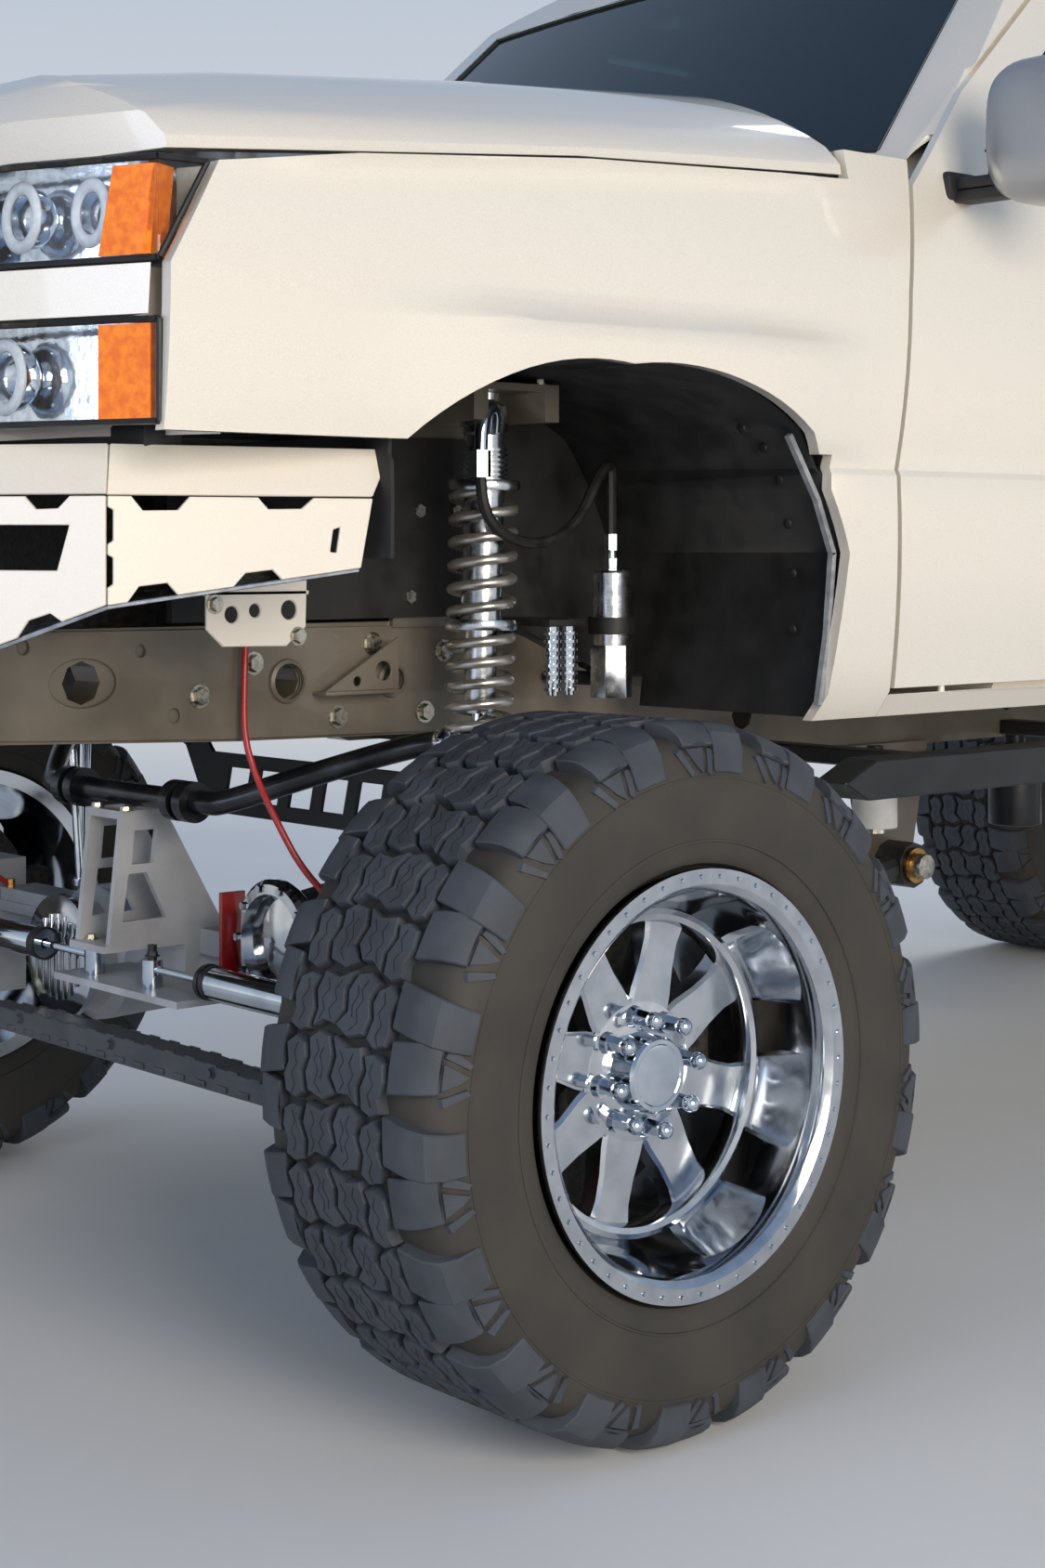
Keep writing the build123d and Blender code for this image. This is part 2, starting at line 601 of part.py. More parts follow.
def bed_pieces():
    x_front, x_rear = at(bed_start), at(bed_end)
    outer = body_prism(0, belt_z, x_rear, x_front)
    outer = outer & block(x_rear, x_front, -1200, 1200, rocker_z, 1880)
    gate_front = x_rear + tailgate_thickness
    cavity = block(x_rear - 1, x_front - 40, -bed_inner_y, bed_inner_y, bed_floor_z, 1900) + \
        block(x_rear - 1, gate_front + 14, -bed_inner_y, bed_inner_y, bed_floor_z - 40, 1900)
    under = block(x_rear - 1, x_front + 1, -960, 960, rocker_z - 1, bed_floor_z - 30)
    arch_centre = wheelbase
    tub = arch_prism(arch_centre, 560, 990, 22)
    bed = outer - cavity - under
    bed = bed + (tub & block(x_rear, x_front, 560, 962, rocker_z + 60, 1560)) \
        + mirror(tub & block(x_rear, x_front, 560, 962, rocker_z + 60, 1560), Plane.XZ)
    hole = arch_prism(arch_centre, 582, 1100)
    bed = bed - hole - mirror(hole, Plane.XZ)
    lamp = block(x_rear - 1, x_rear + 60, bed_inner_y + 40, 1100, 1480, 1840)
    lamp_solid = (outer & block(x_rear, x_rear + 60 - seat_gap, bed_inner_y + 40 + seat_gap, 1100,
                                1480 + seat_gap, 1840 - seat_gap))
    bed = bed - lamp - mirror(lamp, Plane.XZ)
    save("bed", bed)
    save("tail_lamps", *both(lamp_solid))
    pads = [block(at(s + 35), at(s - 35), y - 35, y + 35, low, bed_floor_z - 30)
            for s, low in ((bed_start + 90, rail_top), (wheelbase - 386, 1180), (wheelbase + 364, 1180))
            for y in (rail_y, -rail_y)]
    save("bed_mounts", *pads)
    half = bed_inner_y - gate_gap
    gate = block(x_rear, gate_front, -half, half, gate_hinge_z - 18, 1878)
    axis = x_rear + tailgate_thickness / 2
    for hand in (1, -1):
        low, high = sorted((hand * (half - 5), hand * (bed_inner_y - seat_gap)))
        gate = gate + across(axis, gate_hinge_z, 9, low, high)
    save("tailgate", gate)


def rear_bumper_piece():
    x_low, x_high = -overall_length / 2, at(bed_end + 6)
    beam = front([(-960, 1090), (-900, 1040), (900, 1040), (960, 1090), (960, 1240), (-960, 1240)],
                 x_low, x_high)
    hollow = block(x_low + 10, x_high + 1, -890, 890, 1052, 1228)
    arms = []
    for hand in (1, -1):
        low, high = sorted((hand * (rail_y + rail_half_width), hand * (rail_y + rail_half_width + 40)))
        arms.append(block(x_low + 5, at(bed_end - 132), low, high, 1060, 1130))
    tube = block(x_low, at(bed_end - 212), -32, 32, 930, 994) - \
        block(x_low - 1, at(bed_end - 152), -25.5, 25.5, 936.5, 987.5)
    web = block(x_low, x_low + 10, -60, 60, 994, 1040) + \
        block(at(bed_end - 52), at(bed_end - 112), -28, 28, 994, 1020)
    pin = across(x_low + 60, 962, 8, -60, 60)
    save("rear_bumper", joined([beam - hollow] + arms))
    save("hitch", (tube + web) - pin)


def drive_pieces():
    feet = [block(at(60), at(-60), min(h * 269, h * (rail_y - rail_half_width)),
                  max(h * 269, h * (rail_y - rail_half_width)), 1020, 1080) for h in (1, -1)]
    save("engine", joined([block(at(360), at(-420), -270, 270, 1000, 1540)] + feet))
    gearbox = block(at(1150), at(360), -150, 150, 890, 1030)
    start, finish = at(1190), at(wheelbase - 260)
    shaft = joined([rod((at(1150), 0, 940), (start, 0, 940), 38), Pos(start, 0, 940) * Sphere(42),
                    rod((start, 0, 940), (finish, 0, 530), 40), Pos(finish, 0, 530) * Sphere(42),
                    rod((finish, 0, 530), (at(wheelbase - 220), 0, 530), 38)])
    save("driveline", gearbox, shaft & block(at(wheelbase - 220), at(1150), -100, 100, 400, 1030))


# Differential housings along X: distance from the axle's line, radius
front_bowl = [(-160, 44), (-150, 70), (-86, 118), (40, 122), (56, 102), (112, 100)]
rear_bowl = [(220, 55), (140, 66), (110, 150), (-70, 165), (-96, 128), (-190, 118)]


def front_axle_piece():
    x, z = front_axle_x, tyre_radius
    tube = across(x, z, 48, -706, 706)
    ball = turned((x, -300, z), front_bowl)
    truss = block(x - 40, x + 40, -640, 640, z + 40, z + 84)
    ends = []
    for hand in (1, -1):
        web = block(x - 45, x + 45, min(hand * 690, hand * 716), max(hand * 690, hand * 716), z - fork_half - 12,
                    z + fork_half + 12)
        for z_mid in (z - fork_half, z + fork_half):
            lug = rod((x, hand * kingpin_y, z_mid - 12), (x, hand * kingpin_y, z_mid + 12), 46)
            arm = block(x - 45, x + 45, min(hand * 690, hand * kingpin_y), max(hand * 690, hand * kingpin_y),
                        z_mid - 12, z_mid + 12)
            ends.append(lug + arm)
        ends.append(web)
        seat = block(x - 170, x + 45, min(hand * 500, hand * 660), max(hand * 500, hand * 660), z + 40, z + 60)
        ends.append(seat)
        ear = side([(-30, z - 20), (150, z - 90), (150, z + 20), (-30, z + 60)],
                   min(hand * 404, hand * 416), max(hand * 404, hand * 416))
        ends.append(ear)
    outline = [(-30, z + 60), (-225, z + 60), (-200, z + 290), (-110, z + 290), (10, z + 84)]
    windows = [[(-198, z + 110), (-186, z + 190), (-150, z + 190), (-110, z + 110)],
               [(-180, z + 205), (-174, z + 262), (-128, z + 262), (-136, z + 205)]]
    tower, tower_back = side(outline, -66, -54), side(outline, 30, 42)
    for window in windows:
        tower = tower - side(window, -70, -50)
        tower_back = tower_back - side(window, 26, 46)
    cap = block(at(-110), at(-200), -66, 42, z + 282, z + 296)
    rack = block(at(-40), at(-235), -66, 42, z + 60, z + 72)
    stab = block(at(-60), at(-215), -150, 230, z - 8, z + 4)
    post = block(x + 30, x + 70, -40, 40, z - 8, z + 62)
    save("front_axle", joined([tube, ball, truss, tower, tower_back, cap, rack, stab, post] + ends))


def knuckle_pieces():
    x, z = front_axle_x, tyre_radius
    height = fork_half - 12 - hub_gap
    post = rod((x, kingpin_y, z - height), (x, kingpin_y, z + height), 34)
    carrier = block(x - 60, x + 60, kingpin_y, kingpin_y + 75, z - 95, z + 95)
    spindle = rod((x, kingpin_y + 60, z), (x, half_track - 70 - hub_gap, z), 66)
    arm = block(x, x + steering_arm, kingpin_y - 22, kingpin_y + 30, z - 95, z - 70) + \
        rod((x + steering_arm, kingpin_y, z - 95), (x + steering_arm, kingpin_y, z - 70), 30)
    arm = arm - block(x - 100, x + 46, 600, kingpin_y - 36, z - 200, z)
    inner, outer = half_track - 85, half_track - 25
    caliper = block(x - 235, x - 130, inner, outer, z - 70, z + 70) - \
        rod((x, half_track - 75, z), (x, half_track - 40, z), disc_radius + 4)
    caliper = caliper + block(x - 200, x - 30, kingpin_y + 50, inner, z - 40, z + 40)
    knuckle = joined([post, carrier, spindle, arm, caliper])
    save("knuckle_left", knuckle)
    save("knuckle_right", mirror(knuckle, Plane.XZ))


def steering_pieces():
    x, z = front_axle_x + steering_arm, beam_z - 24
    half = kingpin_y
    beam = front([(-half, z - 22), (half, z - 22), (half, z + 8), (540, z + 8), (250, z + 22),
                  (-250, z + 22), (-540, z + 8), (-half, z + 8)], x - beam_half, x + beam_half)
    ends = [rod((x, y, z - 22), (x, y, z + 8), 34) for y in (half, -half)]
    trim = [rod((x, hand * kingpin_y, z + 8), (x, hand * kingpin_y, tyre_radius - 95 - hub_gap), 16)
            for hand in (1, -1)]
    save("tie_rod", joined([beam] + ends + trim))
    tubes, rods_out = [], []
    for hand in (1, -1):
        eye_y, tube_start, tube_end = hand * 90, hand * 255, hand * 600
        tube = rod((x, tube_start, stabiliser_z), (x, tube_end, stabiliser_z), stabiliser_radius, 9)
        leg = block(x - 12, x + 12, min(hand * 600, hand * 620), max(hand * 600, hand * 620), z + 8,
                    stabiliser_z + 24)
        tubes.append(tube + leg)
        bar = rod((x, eye_y, stabiliser_z), (x, hand * 470, stabiliser_z), 7)
        eye = rod((x, eye_y, tyre_radius + 4 + hub_gap), (x, eye_y, stabiliser_z + 16), 18)
        rods_out.append(bar + eye)
    save("stabilisers", *tubes)
    save("stabiliser_rod_left", rods_out[0])
    save("stabiliser_rod_right", rods_out[1])


def suspension_pieces():
    x, z = front_axle_x, tyre_radius
    shocks = []
    for hand in (1, -1):
        foot, head = (x - 110, hand * 590, z + 60.3), (x - 135, hand * 590, 1487.6)
        axis = Vector(*head) - Vector(*foot)
        point = lambda t: tuple(Vector(*foot) + axis * t)
        shaft = bar(point(0), point(.5), 22) + bar(point(.42), point(1), 38)
        shaft = shaft + bar(point(.38), point(.4), 56) + bar(point(.8), point(.82), 56)
        shocks.append(shaft & block(x - 400, x + 200, -800, 800, z + 60.3, 1487.6))
    save("coilovers", *shocks)
    reservoirs = []
    for hand in (1, -1):
        tank = bar((at(404), hand * 600, 990), (at(404), hand * 600, 1075), 36, 6) + \
            bar((at(404), hand * 600, 1075), (at(404), hand * 600, 1200), 31, 12) + \
            bar((at(404), hand * 600, 1200), (at(404), hand * 600, 1246), 12, 8)
        low, high = sorted((hand * (rail_y + rail_half_width + seat_gap), hand * 575))
        reservoirs.append(tank + block(at(424), at(384), low, high, 1000, 1040))
    save("reservoirs", *reservoirs)
    springs = []
    for hand in (1, -1):
        foot, head = (x - 110, hand * 590, z + 60.3), (x - 135, hand * 590, 1487.6)
        axis = Vector(*head) - Vector(*foot)
        point = lambda t: tuple(Vector(*foot) + axis * t)
        springs.append(bar(point(.4), point(.8), 56) - bar(point(.39), point(.81), 40))
    save("springs", *springs)
    links = []
    for hand in (1, -1):
        low_front, low_rear = (x - 125, hand * 452, z - 50), (at(1300), hand * 490, 625)
        link = bar(low_front, low_rear, 25)
        link = link + bar_across(low_front[0], low_front[2], 40, min(hand * 416.4, hand * 486),
                                 max(hand * 416.4, hand * 486))
        link = link + bar_across(low_rear[0], low_rear[2], 42, min(hand * 452.4, hand * 516),
                                 max(hand * 452.4, hand * 516))
        links.append(link)
    save("front_links", *links)
    sway_z = z + 296 + 20 + seat_gap
    sway = rod((at(-150), -258, sway_z), (at(-150), 258, sway_z), 20)
    for hand in (1, -1):
        sway = sway + bar((at(-158), hand * 240, sway_z), (at(70), hand * 520, 930), 20, 8)
        sway = sway + bar_across(at(70), 930, 24, min(hand * 500, hand * 535), max(hand * 500, hand * 535))
        sway = sway + bar((at(70), hand * 517, z + 60 + seat_gap), (at(70), hand * 517, 930), 10, 8)
    save("sway_bar", sway)


# Leaves of a rear spring: thickness, half length, depth below the main leaf's top
leaves = [(16, spring_half, 0), (14, 520, 16), (14, 360, 30)]
leaf_rise = 230.0


def rear_axle_pieces():
    x, z = rear_axle_x, tyre_radius
    reach = half_track - 70 - hub_gap
    tube = across(x, z, 52, -reach, reach)
    ball = turned((x, 0, z + 15), rear_bowl)
    pads = [block(x - 90, x + 90, y - 40, y + 40, z + 30, z + 100) for y in (spring_y, -spring_y)]
    save("rear_axle", joined([tube, ball] + pads))
    springs = []
    for hand in (1, -1):
        y = hand * spring_y
        stack = [block(x - 70, x + 70, y - 32, y + 32, z + 100, z + 152)]
        for thick, half, drop in leaves:
            rise = leaf_rise * (half / leaves[0][1]) ** 2
            top = z + 146 - drop
            line = [ThreePointArc((x - half, top + rise), (x, top), (x + half, top + rise)),
                    Line((x + half, top + rise), (x + half, top + rise - thick)),
                    ThreePointArc((x + half, top + rise - thick), (x, top - thick),
                                  (x - half, top + rise - thick)),
                    Line((x - half, top + rise - thick), (x - half, top + rise))]
            stack.append(extrude(Plane.XZ.offset(-(y + 30)) * make_face(Wire(line)), 60))
        eye_z = z + 146 + leaf_rise - leaves[0][0] / 2
        for end in (-1, 1):
            stack.append(across(x + end * leaves[0][1], eye_z, 26, y - 34.6, y + 34.6))
        springs.append(joined(stack))
    save("rear_springs", *springs)


def slider_pieces():
    bars = []
    for hand in (1, -1):
        bar = side([(660, 850), (740, 885), (cab_end - 120, 885), (cab_end - 40, 850), (cab_end - 60, 818),
                    (720, 818)],
                   min(hand * 820, hand * 890), max(hand * 820, hand * 890))
        arms = [block(at(s + 25), at(s - 25), min(hand * 435, hand * 825), max(hand * 435, hand * 825), 855, 885)
                for s in (900, 1700, cab_end - 260)]
        bars.append(joined([bar] + arms))
    save("sliders", *bars)


def seat_pieces():
    seats = []
    base = floor_z + floor_thickness
    for y in (380, -380):
        cushion = side([(1250, base + 160), (1250, base + 290), (1760, base + 260), (1760, base + 160)],
                       y - 255, y + 255)
        back = side([(1700, base + 240), (1850, base + 240), (2000, base + 900), (1900, base + 920)],
                    y - 250, y + 250)
        foot = block(at(1700), at(1300), y - 200, y + 200, base, base + 162)
        head = side([(1905, base + 925), (1990, base + 905), (2025, base + 1080), (1945, base + 1100)],
                    y - 130, y + 130)
        post = side([(1930, base + 880), (1960, base + 880), (1985, base + 1000), (1955, base + 1000)],
                    y - 60, y + 60)
        seats.append(joined([cushion, back, foot, head, post]))
    bench = side([(cab_end - 630, base), (cab_end - 630, base + 300), (cab_end - 210, base + 270),
                  (cab_end - 200, base + 850), (cab_end - 70, base + 850), (cab_end - 60, base)], -700, 700)
    save("seats", *seats, bench)
    dash = side([(620, 1500), (620, 1740), (760, 1850), (960, 1810), (960, 1640), (850, 1500)], -815, 815)
    dash = dash - screen_front(frame_wall + seat_gap)
    column = rod((at(930), 380, 1720), (at(1120), 380, 1790), 30)
    tilted = Plane(origin=(at(1120), 380, 1790), z_dir=(-.93, 0, .36))
    wheel = extrude(tilted * (flats(198, 24) - flats(172, 24)), 26)
    spokes = tilted * Box(40, 360, 18)
    save("dashboard", joined([dash, column, spokes, wheel]))


def mirror_pieces():
    foot = block(at(900), at(800), 930, 1060, belt_z - 68, belt_z - 20)
    head = front([(1045, 1795), (1240, 1800), (1262, 1850), (1250, 2040), (1050, 2030)], at(905), at(790))
    solid = (foot + head) - body_prism(0, roof_z, at(cab_end), at(firewall))
    solid = joined([s for s in solid.solids() if s.volume > 100000])
    save("mirror_left", solid)
    save("mirror_right", mirror(solid, Plane.XZ))


# Half of the tyre's section from the bead to the middle: radius, distance from the middle plane
tyre_half_section = [(302, 173), (400, tyre_width / 2), (tyre_radius - lug_depth, 150)]
bead_half_section = [(300, 173.4), (rim_radius + seat_gap, 164)]
# Section of a shoulder lug, its foot inside the carcass
lug_section = [(430, 187), (452, tyre_width / 2), (tyre_radius, 170), (tyre_radius, 84), (430, 84)]


def wheel_loft(rows, sides=2 * lug_count):
    """Many-sided body along the wheel's axis, rows of (distance to the flats, across).

    It has two flats to a lug, as many sides as lugs on both shoulders."""
    return loft([Plane.XZ.offset(-y) * flats(r, sides, 180 / sides) for r, y in rows], ruled=True)


def tyre_loft(half_section):
    return wheel_loft([(r, -y) for r, y in half_section] + [(r, y) for r, y in half_section[::-1]])


def build_tyre():
    carcass = tyre_loft(tyre_half_section) - tyre_loft(bead_half_section)
    lugs = []
    for hand, shift in ((1, .5), (-1, 0)):
        face = make_face(Polyline(*[(r, hand * y) for r, y in lug_section], close=True))
        lug = extrude(Plane.XY.offset(-lug_width / 2) * face, lug_width)
        lugs += [Rot(0, 360 / lug_count * (index + shift), 0) * lug for index in range(lug_count)]
    return carcass.fuse(*lugs)


# Barrel of the rim: radius, distance across, from the inner lip to the outer one
barrel_rows = [(lip_radius, -lip_face), (lip_radius, -lip_face + 12), (rim_radius, -lip_face + 22),
               (rim_radius, lip_face - 22), (lip_radius, lip_face - 12), (lip_radius, lip_face)]
# Blade between hub and rim: distance out, half width
blade_rows = [(80, 36), (165, 22), (212, 30), (rim_radius - rim_wall + 2, 54)]
ring_inner, ring_outer, ring_depth = 212.0, 234.0, 30.0


def build_rim():
    bore = wheel_loft([(rim_radius - rim_wall, -lip_face - 1), (rim_radius - rim_wall, lip_face + 1)])
    barrel = wheel_loft(barrel_rows) - bore
    face_y = spoke_face
    plate = wheel_loft([(hub_radius, face_y - spoke_thickness), (hub_radius, face_y)], 16)
    cap = wheel_loft([(52, face_y - 1), (52, face_y + 42)], 16)
    outline = [(r, half) for r, half in blade_rows] + [(r, -half) for r, half in blade_rows[::-1]]
    blade = extrude(Plane.XZ.offset(-face_y) * make_face(Polyline(*outline, close=True)), spoke_thickness)
    blades = [Rot(0, 360 / spoke_count * index, 0) * blade for index in range(spoke_count)]
    ring = wheel_loft([(ring_outer, face_y - 8), (ring_outer, face_y - 8 + ring_depth)]) - \
        wheel_loft([(ring_inner, face_y - 9), (ring_inner, face_y - 7 + ring_depth)])
    nut = extrude(Plane.XZ.offset(-face_y - 30) * (Pos(76, 0) * flats(10, 6)), 31)
    nuts = [Rot(0, 360 / spoke_count * (k + .5), 0) * nut for k in range(spoke_count)]
    disc = wheel_loft([(disc_radius, -70), (disc_radius, -45)], 24) + \
        wheel_loft([(80, -46), (80, face_y - spoke_thickness + 1)], 16)
    return barrel.fuse(plate, cap, ring, *blades).fuse(*nuts).fuse(disc)


def wheel_pieces():
    tyre, rim = build_tyre(), build_rim()
    for axle, x in (("front", front_axle_x), ("rear", rear_axle_x)):
        for hand, sign in (("left", 1), ("right", -1)):
            place = Pos(x, half_track * sign, tyre_radius)
            for name, solid in (("tyre", tyre), ("rim", rim)):
                turned = solid if sign == 1 else mirror(solid, Plane.XZ)
                save(f"{name}_{axle}_{hand}", place * turned)


for make in (cab_pieces, fender_pieces, hood_piece, nose_pieces, bumper_piece, frame_piece, bed_pieces,
             rear_bumper_piece, drive_pieces, front_axle_piece, knuckle_pieces, steering_pieces,
             suspension_pieces, rear_axle_pieces, slider_pieces, seat_pieces, mirror_pieces, wheel_pieces):
    make()
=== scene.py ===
# %% [markdown]
# # A lifted pickup truck, dressed around its CAD frame
#
# The truck's solids come in as a fixed frame: they say where every panel, wheel and
# rod sits. Each cell below adds one kind of piece or finish on top of them, from the
# floor and the lamps to the tyres, the bright wheels and the painted body.
# The frame's axes are metres, +X is the front of the truck, +Y its left, +Z up.

# %% Load the frame
import bpy
import bmesh
import json
import math
import random
from mathutils import Matrix, Vector

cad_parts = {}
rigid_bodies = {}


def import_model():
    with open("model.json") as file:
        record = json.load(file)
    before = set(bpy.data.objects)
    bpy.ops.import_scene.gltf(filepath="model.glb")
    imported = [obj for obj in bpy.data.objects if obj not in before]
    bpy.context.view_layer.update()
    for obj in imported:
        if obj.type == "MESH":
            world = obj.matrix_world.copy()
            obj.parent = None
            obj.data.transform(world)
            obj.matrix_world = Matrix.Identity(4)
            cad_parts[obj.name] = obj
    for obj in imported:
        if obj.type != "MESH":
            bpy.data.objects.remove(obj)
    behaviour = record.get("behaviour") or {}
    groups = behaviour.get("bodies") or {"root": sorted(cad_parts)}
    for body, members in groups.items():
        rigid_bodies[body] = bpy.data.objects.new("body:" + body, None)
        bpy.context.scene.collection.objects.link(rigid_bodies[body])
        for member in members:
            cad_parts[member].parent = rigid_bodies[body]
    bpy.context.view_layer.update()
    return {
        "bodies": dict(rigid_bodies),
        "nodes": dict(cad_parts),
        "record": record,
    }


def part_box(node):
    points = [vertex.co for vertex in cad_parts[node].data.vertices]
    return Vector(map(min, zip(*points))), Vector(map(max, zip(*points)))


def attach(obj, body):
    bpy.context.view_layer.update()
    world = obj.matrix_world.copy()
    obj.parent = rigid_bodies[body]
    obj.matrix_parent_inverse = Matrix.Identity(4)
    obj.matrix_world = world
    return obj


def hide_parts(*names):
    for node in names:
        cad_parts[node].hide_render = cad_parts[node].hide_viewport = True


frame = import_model()
bodies, nodes = frame["bodies"], frame["nodes"]

# %% [markdown]
# ## Places
#
# A truck is drawn by stations: how far a thing lies behind the front axle, in
# millimetres. One function turns such a station into the frame's X, so that numbers
# from a drawing can be used as they are.

# %% Stations and sides
FRONT_AXLE = 2.003
WHEELBASE = 3.886
HALF_TRACK = 1.010
WHEEL_RADIUS = 0.500
SIDES = (("left", 1), ("right", -1))


def at(behind):
    """X of a station in millimetres behind the front axle."""
    return FRONT_AXLE - behind / 1000


def spot(behind, y, z):
    """Point from a station, a distance to the left and a height, all in millimetres."""
    return Vector((at(behind), y / 1000, z / 1000))


print("front axle at", at(0), "rear axle at", round(at(WHEELBASE * 1000), 3))

# %% [markdown]
# ## Camera
#
# The picture was taken from the truck's front left corner, at about hood height and
# level. A level camera keeps upright edges upright. The view is then moved in the
# frame with the lens shift, as an architect's camera does, instead of being tilted.

# %% Camera at the picture's angle
LONG_SIDE = 1688
camera_data = bpy.data.cameras.new("camera")
camera_data.sensor_width = 36
camera_data.lens = 2610.8 * 36 / LONG_SIDE
camera_data.shift_x = 50 / LONG_SIDE
camera_data.shift_y = -252.8 / LONG_SIDE
camera_data.clip_start, camera_data.clip_end = 0.05, 200
camera = bpy.data.objects.new("camera", camera_data)
camera.location = (4.4169, 3.5169, 1.2373)
camera.rotation_euler = (math.radians(90), 0, math.radians(180 - 40.82))
bpy.context.scene.collection.objects.link(camera)
bpy.context.scene.camera = camera
print("lens", round(camera_data.lens, 2), "mm")

# %% [markdown]
# ## Nodes of a material
#
# A material is a small tree of nodes. One function adds any node, with its settings
# and links in one line, so that a tree reads from top to bottom like a recipe.
# Colours are written as the hex values that a paint chart gives, and turned to the
# linear values that the renderer works in.

# %% Helpers for materials
def linear(hex_colour, alpha=1.0):
    """Linear colour of an sRGB hex value such as E9DFCB."""
    parts = [int(hex_colour[i:i + 2], 16) / 255 for i in (0, 2, 4)]
    return tuple(p / 12.92 if p <= 0.04045 else ((p + 0.055) / 1.055) ** 2.4 for p in parts) + (alpha,)


def put(tree, kind, inputs=None, **settings):
    """Add a node. An input is a value or another node's output, a setting is a property."""
    node = tree.nodes.new(kind)
    for name, value in settings.items():
        setattr(node, name, value)
    for name, value in (inputs or {}).items():
        if isinstance(value, bpy.types.NodeSocket):
            tree.links.new(value, node.inputs[name])
        else:
            node.inputs[name].default_value = value
    return node


def finish_named(name, colour, roughness, metallic=0.0, **sockets):
    """Material with its shader's own values set; its patterns are added afterwards."""
    material = bpy.data.materials.new(name)
    material.use_nodes = True
    shader = material.node_tree.nodes["Principled BSDF"]
    values = {"Base Color": linear(colour), "Roughness": roughness, "Metallic": metallic}
    values.update({key.replace("_", " "): value for key, value in sockets.items()})
    for socket, value in values.items():
        shader.inputs[socket].default_value = value
    return material


def mottle(material, pale, dark, size_mm, rough=None, bump_mm=0.0, bump_size_mm=None, detail=4.0):
    """Uneven colour, gloss and surface from noise whose grain has a real size in millimetres."""
    tree = material.node_tree
    shader = tree.nodes["Principled BSDF"]
    place = put(tree, "ShaderNodeTexCoord").outputs["Object"]
    noise = put(tree, "ShaderNodeTexNoise", {"Vector": place, "Scale": 1000 / size_mm, "Detail": detail})
    ramp = put(tree, "ShaderNodeValToRGB", {"Fac": noise.outputs["Fac"]})
    ramp.color_ramp.elements[0].color, ramp.color_ramp.elements[1].color = linear(dark), linear(pale)
    ramp.color_ramp.elements[0].position, ramp.color_ramp.elements[1].position = 0.38, 0.62
    tree.links.new(ramp.outputs["Color"], shader.inputs["Base Color"])
    if rough:
        spread = put(tree, "ShaderNodeMapRange", {"Value": noise.outputs["Fac"], "From Min": 0.3,
                                                  "From Max": 0.7, "To Min": rough[0], "To Max": rough[1]})
        tree.links.new(spread.outputs["Result"], shader.inputs["Roughness"])
    if bump_mm:
        grain = put(tree, "ShaderNodeTexNoise", {"Vector": place, "Detail": 3.0,
                                                 "Scale": 1000 / (bump_size_mm or size_mm)})
        bump = put(tree, "ShaderNodeBump", {"Height": grain.outputs["Fac"], "Distance": bump_mm / 1000,
                                            "Strength": 1.0})
        tree.links.new(bump.outputs["Normal"], shader.inputs["Normal"])
    return material


# %% [markdown]
# ## Paint
#
# The body wears a champagne pearl: a cream base coat with fine mica flakes under a
# glossy clear coat. The eye sees a warm, even colour, darker where the panel turns
# away, with a hard clean reflection on top. The clear coat is the shader's coat, the
# flakes are a fine noise in the base colour. Real flakes are 0.03 mm, far too fine to
# show, so they are drawn at 1.5 mm and very faint.

# %% Pearl paint and other coatings
pearl_paint = finish_named("champagne_pearl_clearcoat", "E3DCCE", 0.3, 0.2, Coat_Weight=1.0,
                           Coat_Roughness=0.03)
mottle(pearl_paint, "E8E1D4", "DED6C7", 1.5, bump_mm=0.01, bump_size_mm=220)
satin_bronze = finish_named("bronze_frame_enamel", "6E665A", 0.42, 0.2, Coat_Weight=0.25)
mottle(satin_bronze, "736B5E", "625B4F", 130, (0.34, 0.5), 0.12, 2)
axle_grey = finish_named("grey_axle_enamel", "B2B3B5", 0.38, 0.2)
mottle(axle_grey, "BABBBD", "A5A6A9", 110, (0.32, 0.46), 0.1, 2)
black_enamel = finish_named("black_chassis_enamel", "17181A", 0.38)
mottle(black_enamel, "1E1F22", "101113", 80, (0.28, 0.5), 0.1, 4)
bumper_paint = finish_named("cream_bumper_powder_coat", "DED6C6", 0.3, 0.1, Coat_Weight=0.6,
                            Coat_Roughness=0.12)
mottle(bumper_paint, "E1D9CB", "DCD4C5", 2, None, 0.02, 4)
red_enamel = finish_named("red_bracket_enamel", "8E1512", 0.35, Coat_Weight=0.5)
mottle(red_enamel, "9C1A16", "7E100E", 60, (0.3, 0.45))
bar_steel = finish_named("oiled_spring_steel", "3C3D40", 0.24, 0.75)
mottle(bar_steel, "47484B", "2E2F32", 60, (0.18, 0.32), 0.1, 3)
filter_white = finish_named("white_filter_enamel", "D8D8D4", 0.35)
mottle(filter_white, "DEDEDA", "CECEC9", 50, (0.3, 0.4))
beam_grey = finish_named("grey_beam_enamel", "4C4E52", 0.4, 0.3)
mottle(beam_grey, "525458", "45474B", 90, (0.34, 0.48), 0.1, 2)
print("coatings:", pearl_paint.name, satin_bronze.name, axle_grey.name, black_enamel.name)

# %% [markdown]
# ## Bright metal
#
# The wheels are forged aluminium, turned and then polished to a mirror. The damper
# tubes are chromed steel, and the springs are steel with a satin silver powder coat.
# A metal's colour is its reflection, so these have full metallic and differ in
# roughness: a mirror has nearly none, a powder coat a lot more.

